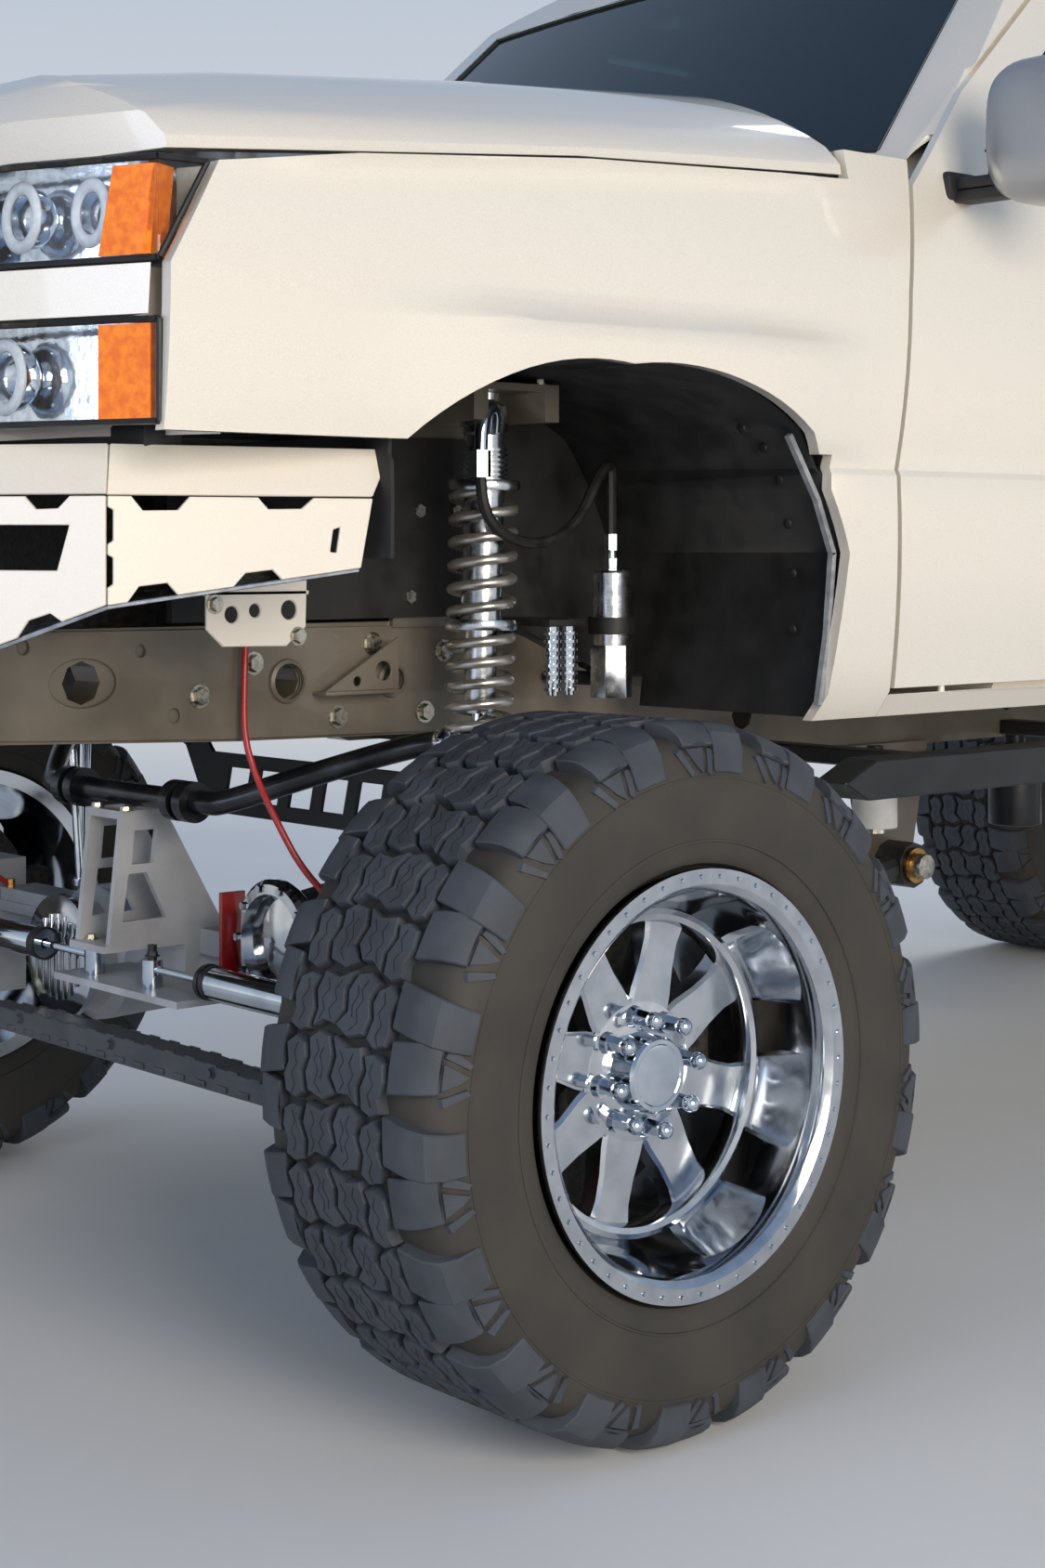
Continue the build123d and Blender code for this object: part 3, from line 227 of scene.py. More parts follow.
# %% Metals
polished_aluminium = finish_named("polished_forged_aluminium", "E3E5E8", 0.09, 1.0)
mottle(polished_aluminium, "CFD2D6", "BDC1C6", 40, (0.07, 0.15))
turned_aluminium = finish_named("turned_aluminium", "C9CCD0", 0.22, 1.0)
mottle(turned_aluminium, "D2D5D8", "B4B8BD", 18, (0.16, 0.3))
chromed_steel = finish_named("chromed_steel", "CBD3DC", 0.05, 1.0)
mottle(chromed_steel, "D3DAE1", "BCC6D0", 70, (0.03, 0.08))
silver_powder = finish_named("silver_spring_powder_coat", "B9B5AE", 0.3, 0.85)
mottle(silver_powder, "C2BEB6", "B0ACA4", 60, (0.22, 0.36), 0.04, 1.5)
cast_iron = finish_named("cast_iron", "4A4744", 0.6, 0.7)
mottle(cast_iron, "56524E", "3A3735", 12, (0.5, 0.75), 0.5, 4)
zinc_bolt = finish_named("zinc_plated_steel", "B8B4A8", 0.28, 1.0)
mottle(zinc_bolt, "C6C2B5", "9C988C", 8, (0.2, 0.4))
brass = finish_named("brass", "B5894A", 0.25, 1.0)
mottle(brass, "C1965A", "9A7238", 10, (0.18, 0.35))
mirror_silver = finish_named("silvered_mirror_glass", "DDE2E6", 0.02, 1.0)
mottle(mirror_silver, "E0E5E9", "D6DCE1", 300, (0.01, 0.04))
lamp_chrome = finish_named("vacuum_metallised_plastic", "E6EBF0", 0.07, 1.0)
mottle(lamp_chrome, "EDF1F5", "CAD2DA", 16, (0.04, 0.14), 0.3, 14)
print("metals:", polished_aluminium.name, chromed_steel.name, silver_powder.name)

# %% [markdown]
# ## Rubber, plastic and cloth
#
# Tyre rubber is near black with a blue cast on the worn tread, and road dust browns
# the sidewall. Bumper and liner plastic is moulded with a fine leather-like grain.
# Seats are a woven cloth; its threads are about 0.8 mm, too fine to draw, so the
# cloth gets only an uneven tone.

# %% Rubber, plastic and cloth
tread_rubber = finish_named("tread_rubber", "4A5058", 0.72)
mottle(tread_rubber, "3E434A", "32363C", 70, (0.6, 0.8), 0.35, 3)
sidewall_rubber = finish_named("dusty_sidewall_rubber", "4E463C", 0.78)
mottle(sidewall_rubber, "38342E", "2E2B26", 120, (0.6, 0.78), 0.15, 2)
# Painted shade: the sipes are flat ribbons on the block tops, and this near-black colour stands in for the shade inside
# each cut
groove_rubber = finish_named("groove_rubber", "1C1E21", 0.85)
mottle(groove_rubber, "26282B", "141517", 20)
soft_rubber = finish_named("black_epdm_rubber", "151515", 0.55)
mottle(soft_rubber, "1C1C1C", "0F0F0F", 20, (0.45, 0.65))
red_hose = finish_named("red_braided_hose", "A01414", 0.45, Coat_Weight=0.3)
mottle(red_hose, "B01A18", "861010", 3, (0.35, 0.55), 0.3, 2)
grey_rubber = finish_named("grey_edge_rubber", "8E9195", 0.5)
mottle(grey_rubber, "9A9DA1", "7C7F83", 25)
liner_plastic = finish_named("moulded_liner_plastic", "0E0E0F", 0.62)
mottle(liner_plastic, "1E1E1E", "101010", 60, (0.5, 0.75), 0.2, 3)
trim_plastic = finish_named("grained_trim_plastic", "1B1B1C", 0.55)
mottle(trim_plastic, "222223", "141415", 40, (0.48, 0.65), 0.12, 1.2)
mirror_shell_plastic = finish_named("silver_mirror_plastic", "8E9194", 0.32, 0.3, Coat_Weight=0.4)
mottle(mirror_shell_plastic, "93969A", "8A8D90", 150)
dash_plastic = finish_named("soft_dash_plastic", "5A5148", 0.6)
mottle(dash_plastic, "635A50", "4E463E", 30, None, 0.15, 1.5)
seat_cloth = finish_named("woven_seat_cloth", "7C7062", 0.85, Sheen_Weight=0.3)
mottle(seat_cloth, "867A6B", "6B6054", 40)
print("soft finishes:", tread_rubber.name, sidewall_rubber.name, seat_cloth.name)

# %% [markdown]
# ## Clear plastics and glass
#
# Window glass is tinted green-grey and 6 mm thick; seen from outside it is dark and
# mirrors the sky. Lamp lenses are clear polycarbonate over a bright housing, and the
# turn signals behind them are amber.

# %% Glass and lenses
tinted_glass = finish_named("tinted_window_glass", "2F4B52", 0.02, Transmission_Weight=0.82, IOR=1.5)
clear_lens = finish_named("clear_polycarbonate", "F7FAFC", 0.02, Transmission_Weight=1.0, IOR=1.3,
                          Specular_IOR_Level=0.3)
amber_lens = finish_named("amber_polycarbonate", "EE7A0A", 0.3, Specular_IOR_Level=0.3)
mottle(amber_lens, "F6860E", "E46A04", 14)
red_lens = finish_named("red_polycarbonate", "B01818", 0.15, Coat_Weight=0.7)
mottle(red_lens, "BE2020", "9A1010", 20)
white_lens = finish_named("frosted_light_ring", "F3F6FA", 0.25, Coat_Weight=0.5)
mottle(white_lens, "F8FAFC", "E8ECF1", 10)
for pane in (tinted_glass, clear_lens):
    tree = pane.node_tree
    place = put(tree, "ShaderNodeTexCoord").outputs["Object"]
    wave = put(tree, "ShaderNodeTexNoise", {"Vector": place, "Scale": 3.0, "Detail": 1.0})
    bump = put(tree, "ShaderNodeBump", {"Height": wave.outputs["Fac"], "Distance": 0.0002, "Strength": 0.3})
    tree.links.new(bump.outputs["Normal"], tree.nodes["Principled BSDF"].inputs["Normal"])
print("clear finishes:", tinted_glass.name, clear_lens.name, amber_lens.name)

# %% [markdown]
# ## Finishes for the frame's own pieces
#
# Every CAD node keeps its mesh and only gets a better material, chosen by the slot
# that its record names. Pieces that are replaced later need none.

# %% Give every CAD node its finish
by_slot = {
    "paint": pearl_paint, "frame_paint": satin_bronze, "axle_paint": axle_grey,
    "black_steel": black_enamel, "black_plastic": liner_plastic, "mirror_plastic": mirror_shell_plastic,
    "glass": tinted_glass, "lamp": clear_lens, "tail_lamp": red_lens, "wheel_metal": polished_aluminium,
    "chrome": chromed_steel, "spring_steel": silver_powder, "rubber": soft_rubber, "tyre": tread_rubber,
    "iron": cast_iron, "seat_fabric": seat_cloth, "dash_plastic": dash_plastic,
}
slot_of = {row["node"]: row["material_slot"] for row in frame["record"]["subparts"]}
for name, piece in nodes.items():
    finish = by_slot.get(slot_of.get(name), black_enamel)
    for index in range(len(piece.data.materials)):
        piece.data.materials[index] = finish
print("slots:", sorted(set(slot_of.values())))

# %% [markdown]
# ## Floor and light
#
# A photographer's studio: one pale floor, a large warm lamp on the truck's left, a
# cooler one in front, and a soft sky above. The sky is a pale dome that is a little
# bluer overhead, so that paint and chrome have something to mirror.

# %% Floor, lamps and sky
floor_mesh = bpy.data.meshes.new("floor")
floor_shape = bmesh.new()
bmesh.ops.create_circle(floor_shape, cap_ends=True, segments=64, radius=90)
floor_shape.to_mesh(floor_mesh)
floor_shape.free()
floor = bpy.data.objects.new("floor", floor_mesh)
bpy.context.scene.collection.objects.link(floor)
floor_paint = finish_named("studio_floor_paint", "DCDBD8", 0.85)
mottle(floor_paint, "DEDDDA", "DAD9D6", 900)
tree = floor_paint.node_tree
place = put(tree, "ShaderNodeTexCoord").outputs["Object"]
away = put(tree, "ShaderNodeVectorMath", {0: place}, operation="LENGTH").outputs["Value"]
fade = put(tree, "ShaderNodeMapRange", {"Value": away, "From Min": 5.0, "From Max": 16.0}).outputs["Result"]
glow = put(tree, "ShaderNodeEmission", {"Color": linear("E9EAEB"), "Strength": 1.0})
rays = put(tree, "ShaderNodeLightPath").outputs
seen = put(tree, "ShaderNodeMath", {0: rays["Is Camera Ray"], 1: rays["Is Glossy Ray"]}, operation="ADD")
seen = put(tree, "ShaderNodeMath", {0: seen.outputs[0], 1: rays["Is Transmission Ray"]}, operation="MAXIMUM")
share = put(tree, "ShaderNodeMath", {0: seen.outputs[0], 1: fade}, operation="MULTIPLY")
mix = put(tree, "ShaderNodeMixShader", {0: share.outputs[0], 1: tree.nodes["Principled BSDF"].outputs[0],
                                        2: glow.outputs[0]})
tree.links.new(mix.outputs[0], tree.nodes["Material Output"].inputs["Surface"])
floor_mesh.materials.append(floor_paint)

# Each lamp: name, place, target, size in metres, power in watts, colour
lamps = [
    ("key", (4.6, 9.4, 3.4), (1.2, 0.6, 1.0), 4.5, 730, "FFF4E6"),
    ("front", (10.0, 1.0, 2.6), (1.8, 0.0, 0.9), 4.0, 120, "CFDEFF"),
    ("back", (-9.0, -3.0, 6.5), (0.0, 0.0, 1.0), 5.0, 420, "FFFFFF"),
]
for name, place, target, size, power, colour in lamps:
    lamp_data = bpy.data.lights.new(name, "AREA")
    lamp_data.energy, lamp_data.size, lamp_data.color = power, size, linear(colour)[:3]
    lamp = bpy.data.objects.new(name, lamp_data)
    lamp.location = place
    lamp.rotation_euler = (Vector(target) - Vector(place)).to_track_quat("-Z", "Y").to_euler()
    bpy.context.scene.collection.objects.link(lamp)

world = bpy.data.worlds.new("sky")
world.use_nodes = True
bpy.context.scene.world = world
sky = world.node_tree
direction = put(sky, "ShaderNodeTexCoord").outputs["Generated"]
height = put(sky, "ShaderNodeSeparateXYZ", {"Vector": direction}).outputs["Z"]
sky_ramp = put(sky, "ShaderNodeValToRGB", {"Fac": height})
sky_ramp.color_ramp.elements[0].color, sky_ramp.color_ramp.elements[1].color = linear("F3F4F5"), linear("7F94B6")
sky_ramp.color_ramp.elements[0].position, sky_ramp.color_ramp.elements[1].position = 0.04, 0.85
for share, colour in ((0.14, "D6DDE6"), (0.38, "A9BACF")):
    sky_ramp.color_ramp.elements.new(share).color = linear(colour)
backdrop = sky.nodes["Background"]
sky.links.new(sky_ramp.outputs["Color"], backdrop.inputs["Color"])
backdrop.inputs["Strength"].default_value = 0.9
bpy.context.scene.view_settings.view_transform = "Standard"
print("lamps:", len(lamps))

# %% [markdown]
# ## Shaping tools
#
# Most hardware on a truck is bar, tube, plate, turned ring or bolt. Each helper below
# adds one such form to a mesh that is being built, with the operators that a modeller
# would use by hand: create, extrude, spin and bevel. The last helper turns the mesh
# into a piece that rides on a body of the frame.

# %% Helpers for shapes
def keep_new(shape, before):
    """Vertices added to a shape since a set of them was taken."""
    return [vert for vert in shape.verts if vert not in before]


def turn_to(direction):
    """Matrix that turns the Z axis into a direction."""
    return Vector(direction).to_track_quat("Z", "Y").to_matrix().to_4x4()


def add_bar(shape, start, end, radius, sides=24, end_radius=None, soften=0.0):
    """Round or many-sided bar between two points; sides of 6 give a hex."""
    start, end = Vector(start), Vector(end)
    before = set(shape.verts)
    bmesh.ops.create_cone(shape, cap_ends=True, segments=sides, radius1=radius,
                          radius2=radius if end_radius is None else end_radius,
                          depth=(end - start).length,
                          matrix=Matrix.Translation((start + end) / 2) @ turn_to(end - start))
    fresh = keep_new(shape, before)
    if soften:
        rims = [e for e in {e for v in fresh for e in v.link_edges}
                if len(e.link_faces) == 2 and e.calc_face_angle(0) > 1.0]
        bmesh.ops.bevel(shape, geom=rims, offset=soften, segments=2, profile=0.5, material=-1,
                        affect="EDGES")
    return keep_new(shape, before)


def add_box(shape, low, high, soften=0.0):
    """Block between two corners."""
    low, high = Vector(low), Vector(high)
    before = set(shape.verts)
    size = Matrix.Diagonal((*(high - low), 1))
    bmesh.ops.create_cube(shape, size=1, matrix=Matrix.Translation((low + high) / 2) @ size)
    if soften:
        edges = list({e for v in keep_new(shape, before) for e in v.link_edges})
        bmesh.ops.bevel(shape, geom=edges, offset=soften, segments=2, profile=0.5, material=-1,
                        affect="EDGES")
    return keep_new(shape, before)


def add_spun(shape, profile, centre, axis, steps=64, closed=False):
    """Turned body: a profile of (radius, along) corners spun round an axis."""
    before = set(shape.verts)
    place = Matrix.Translation(centre) @ turn_to(axis)
    line = [shape.verts.new(place @ Vector((radius, 0, along))) for radius, along in profile]
    pairs = list(zip(line, line[1:])) + ([(line[-1], line[0])] if closed else [])
    edges = [shape.edges.new(pair) for pair in pairs]
    bmesh.ops.spin(shape, geom=line + edges, cent=centre, axis=Vector(axis).normalized(),
                   angle=math.tau, steps=steps, use_merge=True)
    return keep_new(shape, before)


def add_plate(shape, outlines, thickness, place, soften=0.0):
    """Flat plate: the first outline is its edge, the others are holes. Metres, in a placed XY plane."""
    before = set(shape.verts)
    edges = []
    for outline in outlines:
        verts = [shape.verts.new((x, y, 0)) for x, y in outline]
        edges += [shape.edges.new(pair) for pair in zip(verts, verts[1:] + verts[:1])]
    made = bmesh.ops.triangle_fill(shape, use_beauty=True, use_dissolve=False, edges=edges)
    faces = [f for f in made["geom"] if isinstance(f, bmesh.types.BMFace)]
    grown = bmesh.ops.extrude_face_region(shape, geom=faces)
    lifted = [v for v in grown["geom"] if isinstance(v, bmesh.types.BMVert)]
    bmesh.ops.translate(shape, verts=lifted, vec=(0, 0, thickness))
    fresh = keep_new(shape, before)
    if soften:
        rims = [e for e in {e for v in fresh for e in v.link_edges}
                if len(e.link_faces) == 2 and e.calc_face_angle(0) > 1.0]
        bmesh.ops.bevel(shape, geom=rims, offset=soften, segments=1, profile=0.5, material=-1,
                        affect="EDGES")
        fresh = keep_new(shape, before)
    bmesh.ops.transform(shape, matrix=place, verts=fresh)
    return fresh


def circle(x, y, radius, count=16):
    """Corners of a round hole for a plate."""
    return [(x + radius * math.cos(math.tau * k / count), y + radius * math.sin(math.tau * k / count))
            for k in range(count)]


def add_bolt(shape, place, direction, size=0.012, washer=True):
    """Hex head on a washer, standing on a surface."""
    place, direction = Vector(place), Vector(direction).normalized()
    if washer:
        add_bar(shape, place, place + direction * size * 0.16, size * 1.15, 20)
    add_bar(shape, place + direction * size * 0.16, place + direction * size * 0.75, size * 0.88, 6,
            size * 0.82)


def add_tube(shape, points, radius, sides=16, closed_ends=True):
    """Bent tube along points, made from a smooth NURBS curve with a round section."""
    curve = bpy.data.curves.new("path", "CURVE")
    curve.dimensions, curve.bevel_depth, curve.use_fill_caps = "3D", radius, closed_ends
    curve.bevel_resolution = max(0, sides // 4 - 1)
    spline = curve.splines.new("NURBS")
    spline.points.add(len(points) - 1)
    for knot, point in zip(spline.points, points):
        knot.co = (*point, 1)
    spline.order_u, spline.use_endpoint_u, spline.resolution_u = 3, True, 8
    holder = bpy.data.objects.new("path", curve)
    mesh = bpy.data.meshes.new_from_object(holder)
    before = set(shape.verts)
    shape.from_mesh(mesh)
    bpy.data.objects.remove(holder)
    bpy.data.meshes.remove(mesh)
    return keep_new(shape, before)


def add_copy(shape, source, matrix):
    """Copy of a finished shape's mesh, placed by a matrix."""
    before = set(shape.verts)
    shape.from_mesh(source)
    bmesh.ops.transform(shape, matrix=matrix, verts=keep_new(shape, before))


ACROSS = Matrix.Diagonal((1, -1, 1, 1))


def piece(name, shape, body, slot, finish, smooth=35, replaced=(), turned=None):
    """Close a shape into a mesh and make it a piece that rides on a body."""
    if turned is not None:
        bmesh.ops.transform(shape, matrix=turned, verts=shape.verts)
    bmesh.ops.remove_doubles(shape, verts=shape.verts, dist=2e-5)
    bmesh.ops.recalc_face_normals(shape, faces=shape.faces)
    mesh = bpy.data.meshes.new(name)
    shape.to_mesh(mesh)
    shape.free()
    mesh.materials.append(finish)
    mesh.shade_smooth()
    mesh.set_sharp_from_angle(angle=math.radians(smooth))
    made = bpy.data.objects.new(name, mesh)
    bpy.context.scene.collection.objects.link(made)
    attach(made, body)
    if replaced:
        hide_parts(*replaced)
    return made


print("shape helpers ready")

# %% [markdown]
# ## Tyres
#
# A mud tyre is a smooth carcass with a tread of separate rubber blocks moulded onto
# it. The blocks are drawn flat, as a tyre maker draws a tread: along the
# circumference and across the width. They are then wrapped round the tyre, one pitch
# after another, and the other half of the tread is the same pattern shifted by half a
# pitch. Shoulder lugs are bars that bend over the edge and run down the sidewall.

# %% Tread pattern and carcass
PITCHES = 18
PITCH = math.tau * 0.5 / PITCHES
TREAD_BASE = 0.482
# Block outlines of half a tread, corners as (along, across) in millimetres. The middle groove
# zigzags, so that the blocks of both halves interlock.
tread_blocks = [
    [(6, 17), (30, 5), (58, 13), (79, -7), (91, 18), (84, 50), (60, 58), (38, 49), (13, 56), (2, 38)],
    [(91, -7), (117, 5), (145, -3), (165, 13), (163, 36), (174, 54), (150, 49), (126, 60), (98, 52), (103, 20)],
    [(22, 66), (40, 60), (60, 68), (88, 60), (98, 76), (92, 97), (70, 103), (50, 95), (26, 103), (13, 84)],
    [(106, 62), (126, 70), (150, 59), (178, 64), (184, 82), (177, 101), (158, 95), (136, 104), (112, 99), (103, 80)],
]
# Sipes: thin zigzag cuts moulded into each block, drawn as flat ribbons of painted shade
sipes = [
    [(14, 40), (28, 32), (40, 40), (54, 30), (70, 36), (82, 22)], [(22, 22), (34, 28), (50, 20), (64, 24)],
    [(108, 12), (122, 22), (134, 14), (148, 26), (160, 18)], [(108, 40), (122, 34), (136, 44), (150, 36), (164, 44)],
    [(24, 78), (38, 84), (52, 76), (66, 86), (80, 78), (92, 84)],
    [(114, 82), (128, 76), (142, 86), (156, 76), (170, 84)],
]
# Shoulder lugs: start and end along, then the section as (radius, across)
long_lug = [(480, 106), (499, 106), (499, 140), (496, 156), (486, 174), (464, 187), (432, 191.5), (428, 186),
            (466, 160)]
short_lug = [(480, 112), (499, 112), (499, 138), (494, 157), (482, 173), (470, 181), (464, 176), (470, 160)]
shoulder_lugs = [(2, 66, long_lug, 16), (82, 150, short_lug, -10)]
# Wedges on the sidewall between the lugs: corners as (along, radius) in millimetres
wedges = [
    [(96, 466), (138, 466), (124, 440), (112, 428)], [(74, 462), (90, 466), (104, 430), (96, 424)],
    [(146, 466), (160, 462), (138, 424), (130, 430)],
]
carcass_profile = [(0.300, 0.166), (0.304, 0.176), (0.316, 0.183), (0.330, 0.1845), (0.352, 0.1895),
                   (0.384, 0.1915), (0.416, 0.1895), (0.428, 0.189), (0.452, 0.182), (0.470, 0.168),
                   (0.479, 0.150), (TREAD_BASE, 0.110), (TREAD_BASE + 0.001, 0.04)]


def on_tread(along, across, radius):
    """Point of the wheel's own frame for a place on the flat tread."""
    turn = along / 0.5
    return Vector((radius * math.sin(turn), across, radius * math.cos(turn)))


def add_tread_block(shape, outline, shift, hand):
    """Block with drafted sides and a softened top, standing on the carcass."""
    middle = Vector((sum(s for s, y in outline), sum(y for s, y in outline))) / len(outline)
    rings = []
    for radius, shrink in ((TREAD_BASE - 0.004, 1.03), (0.4965, 0.99), (0.4995, 0.94)):
        ring = []
        for s, y in outline:
            s2, y2 = middle + (Vector((s, y)) - middle) * shrink
            ring.append(shape.verts.new(on_tread(shift + s2 / 1000, hand * y2 / 1000, radius)))
        rings.append(ring)
    for low, high in zip(rings, rings[1:]):
        for k in range(len(low)):
            n = (k + 1) % len(low)
            shape.faces.new((low[k], low[n], high[n], high[k]))
    crown = shape.verts.new(on_tread(shift + middle[0] / 1000, hand * middle[1] / 1000, 0.4996))
    for k in range(len(outline)):
        shape.faces.new((rings[-1][k], rings[-1][(k + 1) % len(outline)], crown))
    shape.faces.new(rings[0][::-1])


def add_sipe(shape, line, shift, hand):
    """Narrow ribbon of painted shade that marks a cut in a block's top."""
    pairs = [[shape.verts.new(on_tread(shift + s / 1000, hand * (y + side) / 1000, 0.4998))
              for s, y in line] for side in (-0.9, 0.9)]
    for k in range(len(line) - 1):
        shape.faces.new((pairs[0][k], pairs[0][k + 1], pairs[1][k + 1], pairs[1][k]))


def add_wedge(shape, corners, shift, hand):
    """Raised wedge on the sidewall, its top smaller than its foot."""
    middle = Vector((sum(s for s, r in corners), sum(r for s, r in corners))) / len(corners)
    rings = []
    for lift, shrink in ((-0.003, 1.0), (0.0045, 0.86)):
        ring = []
        for s, r in corners:
            s2, r2 = middle + (Vector((s, r)) - middle) * shrink
            wall = 0.1895 if r2 < 430 else 0.1895 - (r2 - 430) * 0.00045
            ring.append(shape.verts.new(on_tread(shift + s2 / 1000, hand * (wall + lift), r2 / 1000)))
        rings.append(ring)
    for k in range(len(corners)):
        n = (k + 1) % len(corners)
        shape.faces.new((rings[0][k], rings[0][n], rings[1][n], rings[1][k]))
    shape.faces.new(rings[1])
    shape.faces.new(rings[0][::-1])


def add_shoulder_lug(shape, start, end, section, skew, shift, hand):
    """Bar of a section extruded along the circumference, its outer end skewed a little."""
    before = set(shape.verts)
    ring = []
    for radius, y in section:
        lean = skew * (y - 104) / 80
        ring.append(shape.verts.new(on_tread(shift + (start + lean) / 1000, hand * y / 1000, radius / 1000)))
    face = shape.faces.new(ring)
    for _ in range(2):
        grown = bmesh.ops.extrude_face_region(shape, geom=[face])["geom"]
        face = next(g for g in grown if isinstance(g, bmesh.types.BMFace))
        moved = [g for g in grown if isinstance(g, bmesh.types.BMVert)]
        bmesh.ops.rotate(shape, verts=moved, cent=(0, 0, 0),
                         matrix=Matrix.Rotation((end - start) / 2000 / 0.5, 3, "Y"))
    fresh = keep_new(shape, before)
    ends = [e for e in {e for v in fresh for e in v.link_edges}
            if len(e.link_faces) == 2 and e.calc_face_angle(0) > 1.2]
    bmesh.ops.bevel(shape, geom=ends, offset=0.002, segments=1, profile=0.5, material=-1, affect="EDGES")


tread_shape, sipe_shape = bmesh.new(), bmesh.new()
for index in range(PITCHES):
    for hand, offset in ((1, 0.0), (-1, 0.5)):
        shift = (index + offset) * PITCH
        for outline in tread_blocks:
            add_tread_block(tread_shape, outline, shift, hand)
        for line in sipes:
            add_sipe(sipe_shape, line, shift, hand)
        for start, end, section, skew in shoulder_lugs:
            add_shoulder_lug(tread_shape, start, end, section, skew, shift, hand)
        for corners in wedges:
            add_wedge(tread_shape, corners, shift, hand)
tread_mesh = bpy.data.meshes.new("tread")
bmesh.ops.recalc_face_normals(tread_shape, faces=tread_shape.faces)
tread_shape.to_mesh(tread_mesh)
tread_shape.free()
sipe_mesh = bpy.data.meshes.new("sipes")
sipe_shape.to_mesh(sipe_mesh)
sipe_shape.free()

carcass_shape = bmesh.new()
whole_profile = [(r, y) for r, y in carcass_profile] + [(r, -y) for r, y in carcass_profile[::-1]]
inner_wall = [(0.2995, -0.162), (0.288, -0.150), (0.288, 0.150), (0.2995, 0.162)]
add_spun(carcass_shape, whole_profile + inner_wall, (0, 0, 0), (0, 1, 0), 108, True)
for ridge in (0.336, 0.424):
    for hand in (1, -1):
        level = 0.1885 if ridge > 0.4 else 0.1860
        add_spun(carcass_shape, [(ridge - 0.004, hand * (level - 0.004)), (ridge - 0.0015, hand * (level + 0.0015)),
                                 (ridge + 0.0015, hand * (level + 0.0015)), (ridge + 0.004, hand * (level - 0.004))],
                 (0, 0, 0), (0, 1, 0), 108, True)
carcass_mesh = bpy.data.meshes.new("carcass")
bmesh.ops.recalc_face_normals(carcass_shape, faces=carcass_shape.faces)
carcass_shape.to_mesh(carcass_mesh)
carcass_shape.free()
print("tread faces", len(tread_mesh.polygons), "carcass faces", len(carcass_mesh.polygons))

# %% [markdown]
# ## Wheels
#
# A forged wheel is turned from one disc of aluminium, then milled: a rim with a deep
# outer lip, an inner ring, and eight blades between hub and rim. The turned parts are
# spun from profiles, and one blade is modelled and repeated eight times. Rivets round
# the lip and ball-topped nuts round the hub give the eye its scale.

# %% Wheel turned and milled
wheel_shape = bmesh.new()
rim_profile = [(0.2975, 0.1860), (0.2975, 0.1785), (0.2830, 0.1700), (0.2790, 0.1600), (0.2790, -0.1600),
               (0.2840, -0.1700), (0.2975, -0.1760), (0.2975, -0.1850), (0.2700, -0.1850), (0.2700, 0.0300),
               (0.2715, 0.1200), (0.2690, 0.1500), (0.2640, 0.1640), (0.2660, 0.1770), (0.2715, 0.1825),
               (0.2760, 0.1858)]
add_spun(wheel_shape, rim_profile, (0, 0, 0), (0, 1, 0), 96, True)
ring_profile = [(0.2110, 0.0500), (0.2110, 0.0700), (0.2150, 0.0800), (0.2230, 0.0830), (0.2310, 0.0790),
                (0.2345, 0.0700), (0.2345, 0.0500)]
add_spun(wheel_shape, ring_profile, (0, 0, 0), (0, 1, 0), 96, True)
hub_profile = [(0.0001, 0.0260), (0.1040, 0.0260), (0.1080, 0.0420), (0.1040, 0.0610), (0.0960, 0.0640),
               (0.0001, 0.0640)]
add_spun(wheel_shape, hub_profile, (0, 0, 0), (0, 1, 0), 64)
# Half widths of a blade from the hub to the rim: radius, half width, front face, back face
blade_rows = [(0.085, 0.041, 0.0630, 0.028), (0.112, 0.040, 0.0630, 0.028), (0.150, 0.034, 0.0635, 0.030),
              (0.185, 0.033, 0.0640, 0.032), (0.208, 0.038, 0.0650, 0.034), (0.230, 0.048, 0.0680, 0.036),
              (0.248, 0.058, 0.0950, 0.060), (0.262, 0.068, 0.1350, 0.100), (0.2725, 0.078, 0.1600, 0.135)]


def add_blade(shape, turn):
    """Blade from hub to rim, lofted through rows of six corners with chamfered front edges."""
    before = set(shape.verts)
    rings = []
    for radius, half, face, back in blade_rows:
        ring = [(-half, back), (-half, face - 0.005), (-half * 0.86, face), (half * 0.86, face),
                (half, face - 0.005), (half, back)]
        rings.append([shape.verts.new((x, y, radius)) for x, y in ring])
    for low, high in zip(rings, rings[1:]):
        for k in range(len(low)):
            n = (k + 1) % len(low)
            shape.faces.new((low[k], low[n], high[n], high[k]))
    shape.faces.new(rings[0])
    shape.faces.new(rings[-1][::-1])
    bmesh.ops.rotate(shape, verts=keep_new(shape, before), cent=(0, 0, 0),
                     matrix=Matrix.Rotation(turn, 3, "Y"))


for index in range(8):
    add_blade(wheel_shape, math.tau * (index + 0.5) / 8)
bmesh.ops.recalc_face_normals(wheel_shape, faces=wheel_shape.faces)
wheel_mesh = bpy.data.meshes.new("wheel")
wheel_shape.to_mesh(wheel_mesh)
wheel_shape.free()

fittings_shape = bmesh.new()
cap_profile = [(0.0001, 0.1050), (0.0300, 0.1045), (0.0420, 0.1030), (0.0440, 0.1045), (0.0500, 0.1040),
               (0.0535, 0.1000), (0.0540, 0.0900), (0.0560, 0.0640), (0.0001, 0.0600)]
add_spun(fittings_shape, cap_profile, (0, 0, 0), (0, 1, 0), 64)
for index in range(8):
    turn = math.tau * index / 8
    x, z = 0.079 * math.sin(turn), 0.079 * math.cos(turn)
    add_bar(fittings_shape, (x, 0.062, z), (x, 0.074, z), 0.0165, 24, 0.0140)
    add_bar(fittings_shape, (x, 0.074, z), (x, 0.100, z), 0.0125, 6, 0.0110)
    bmesh.ops.create_uvsphere(fittings_shape, u_segments=16, v_segments=10, radius=0.0128,
                              matrix=Matrix.Translation((x, 0.105, z)) @ turn_to((0, 1, 0)))
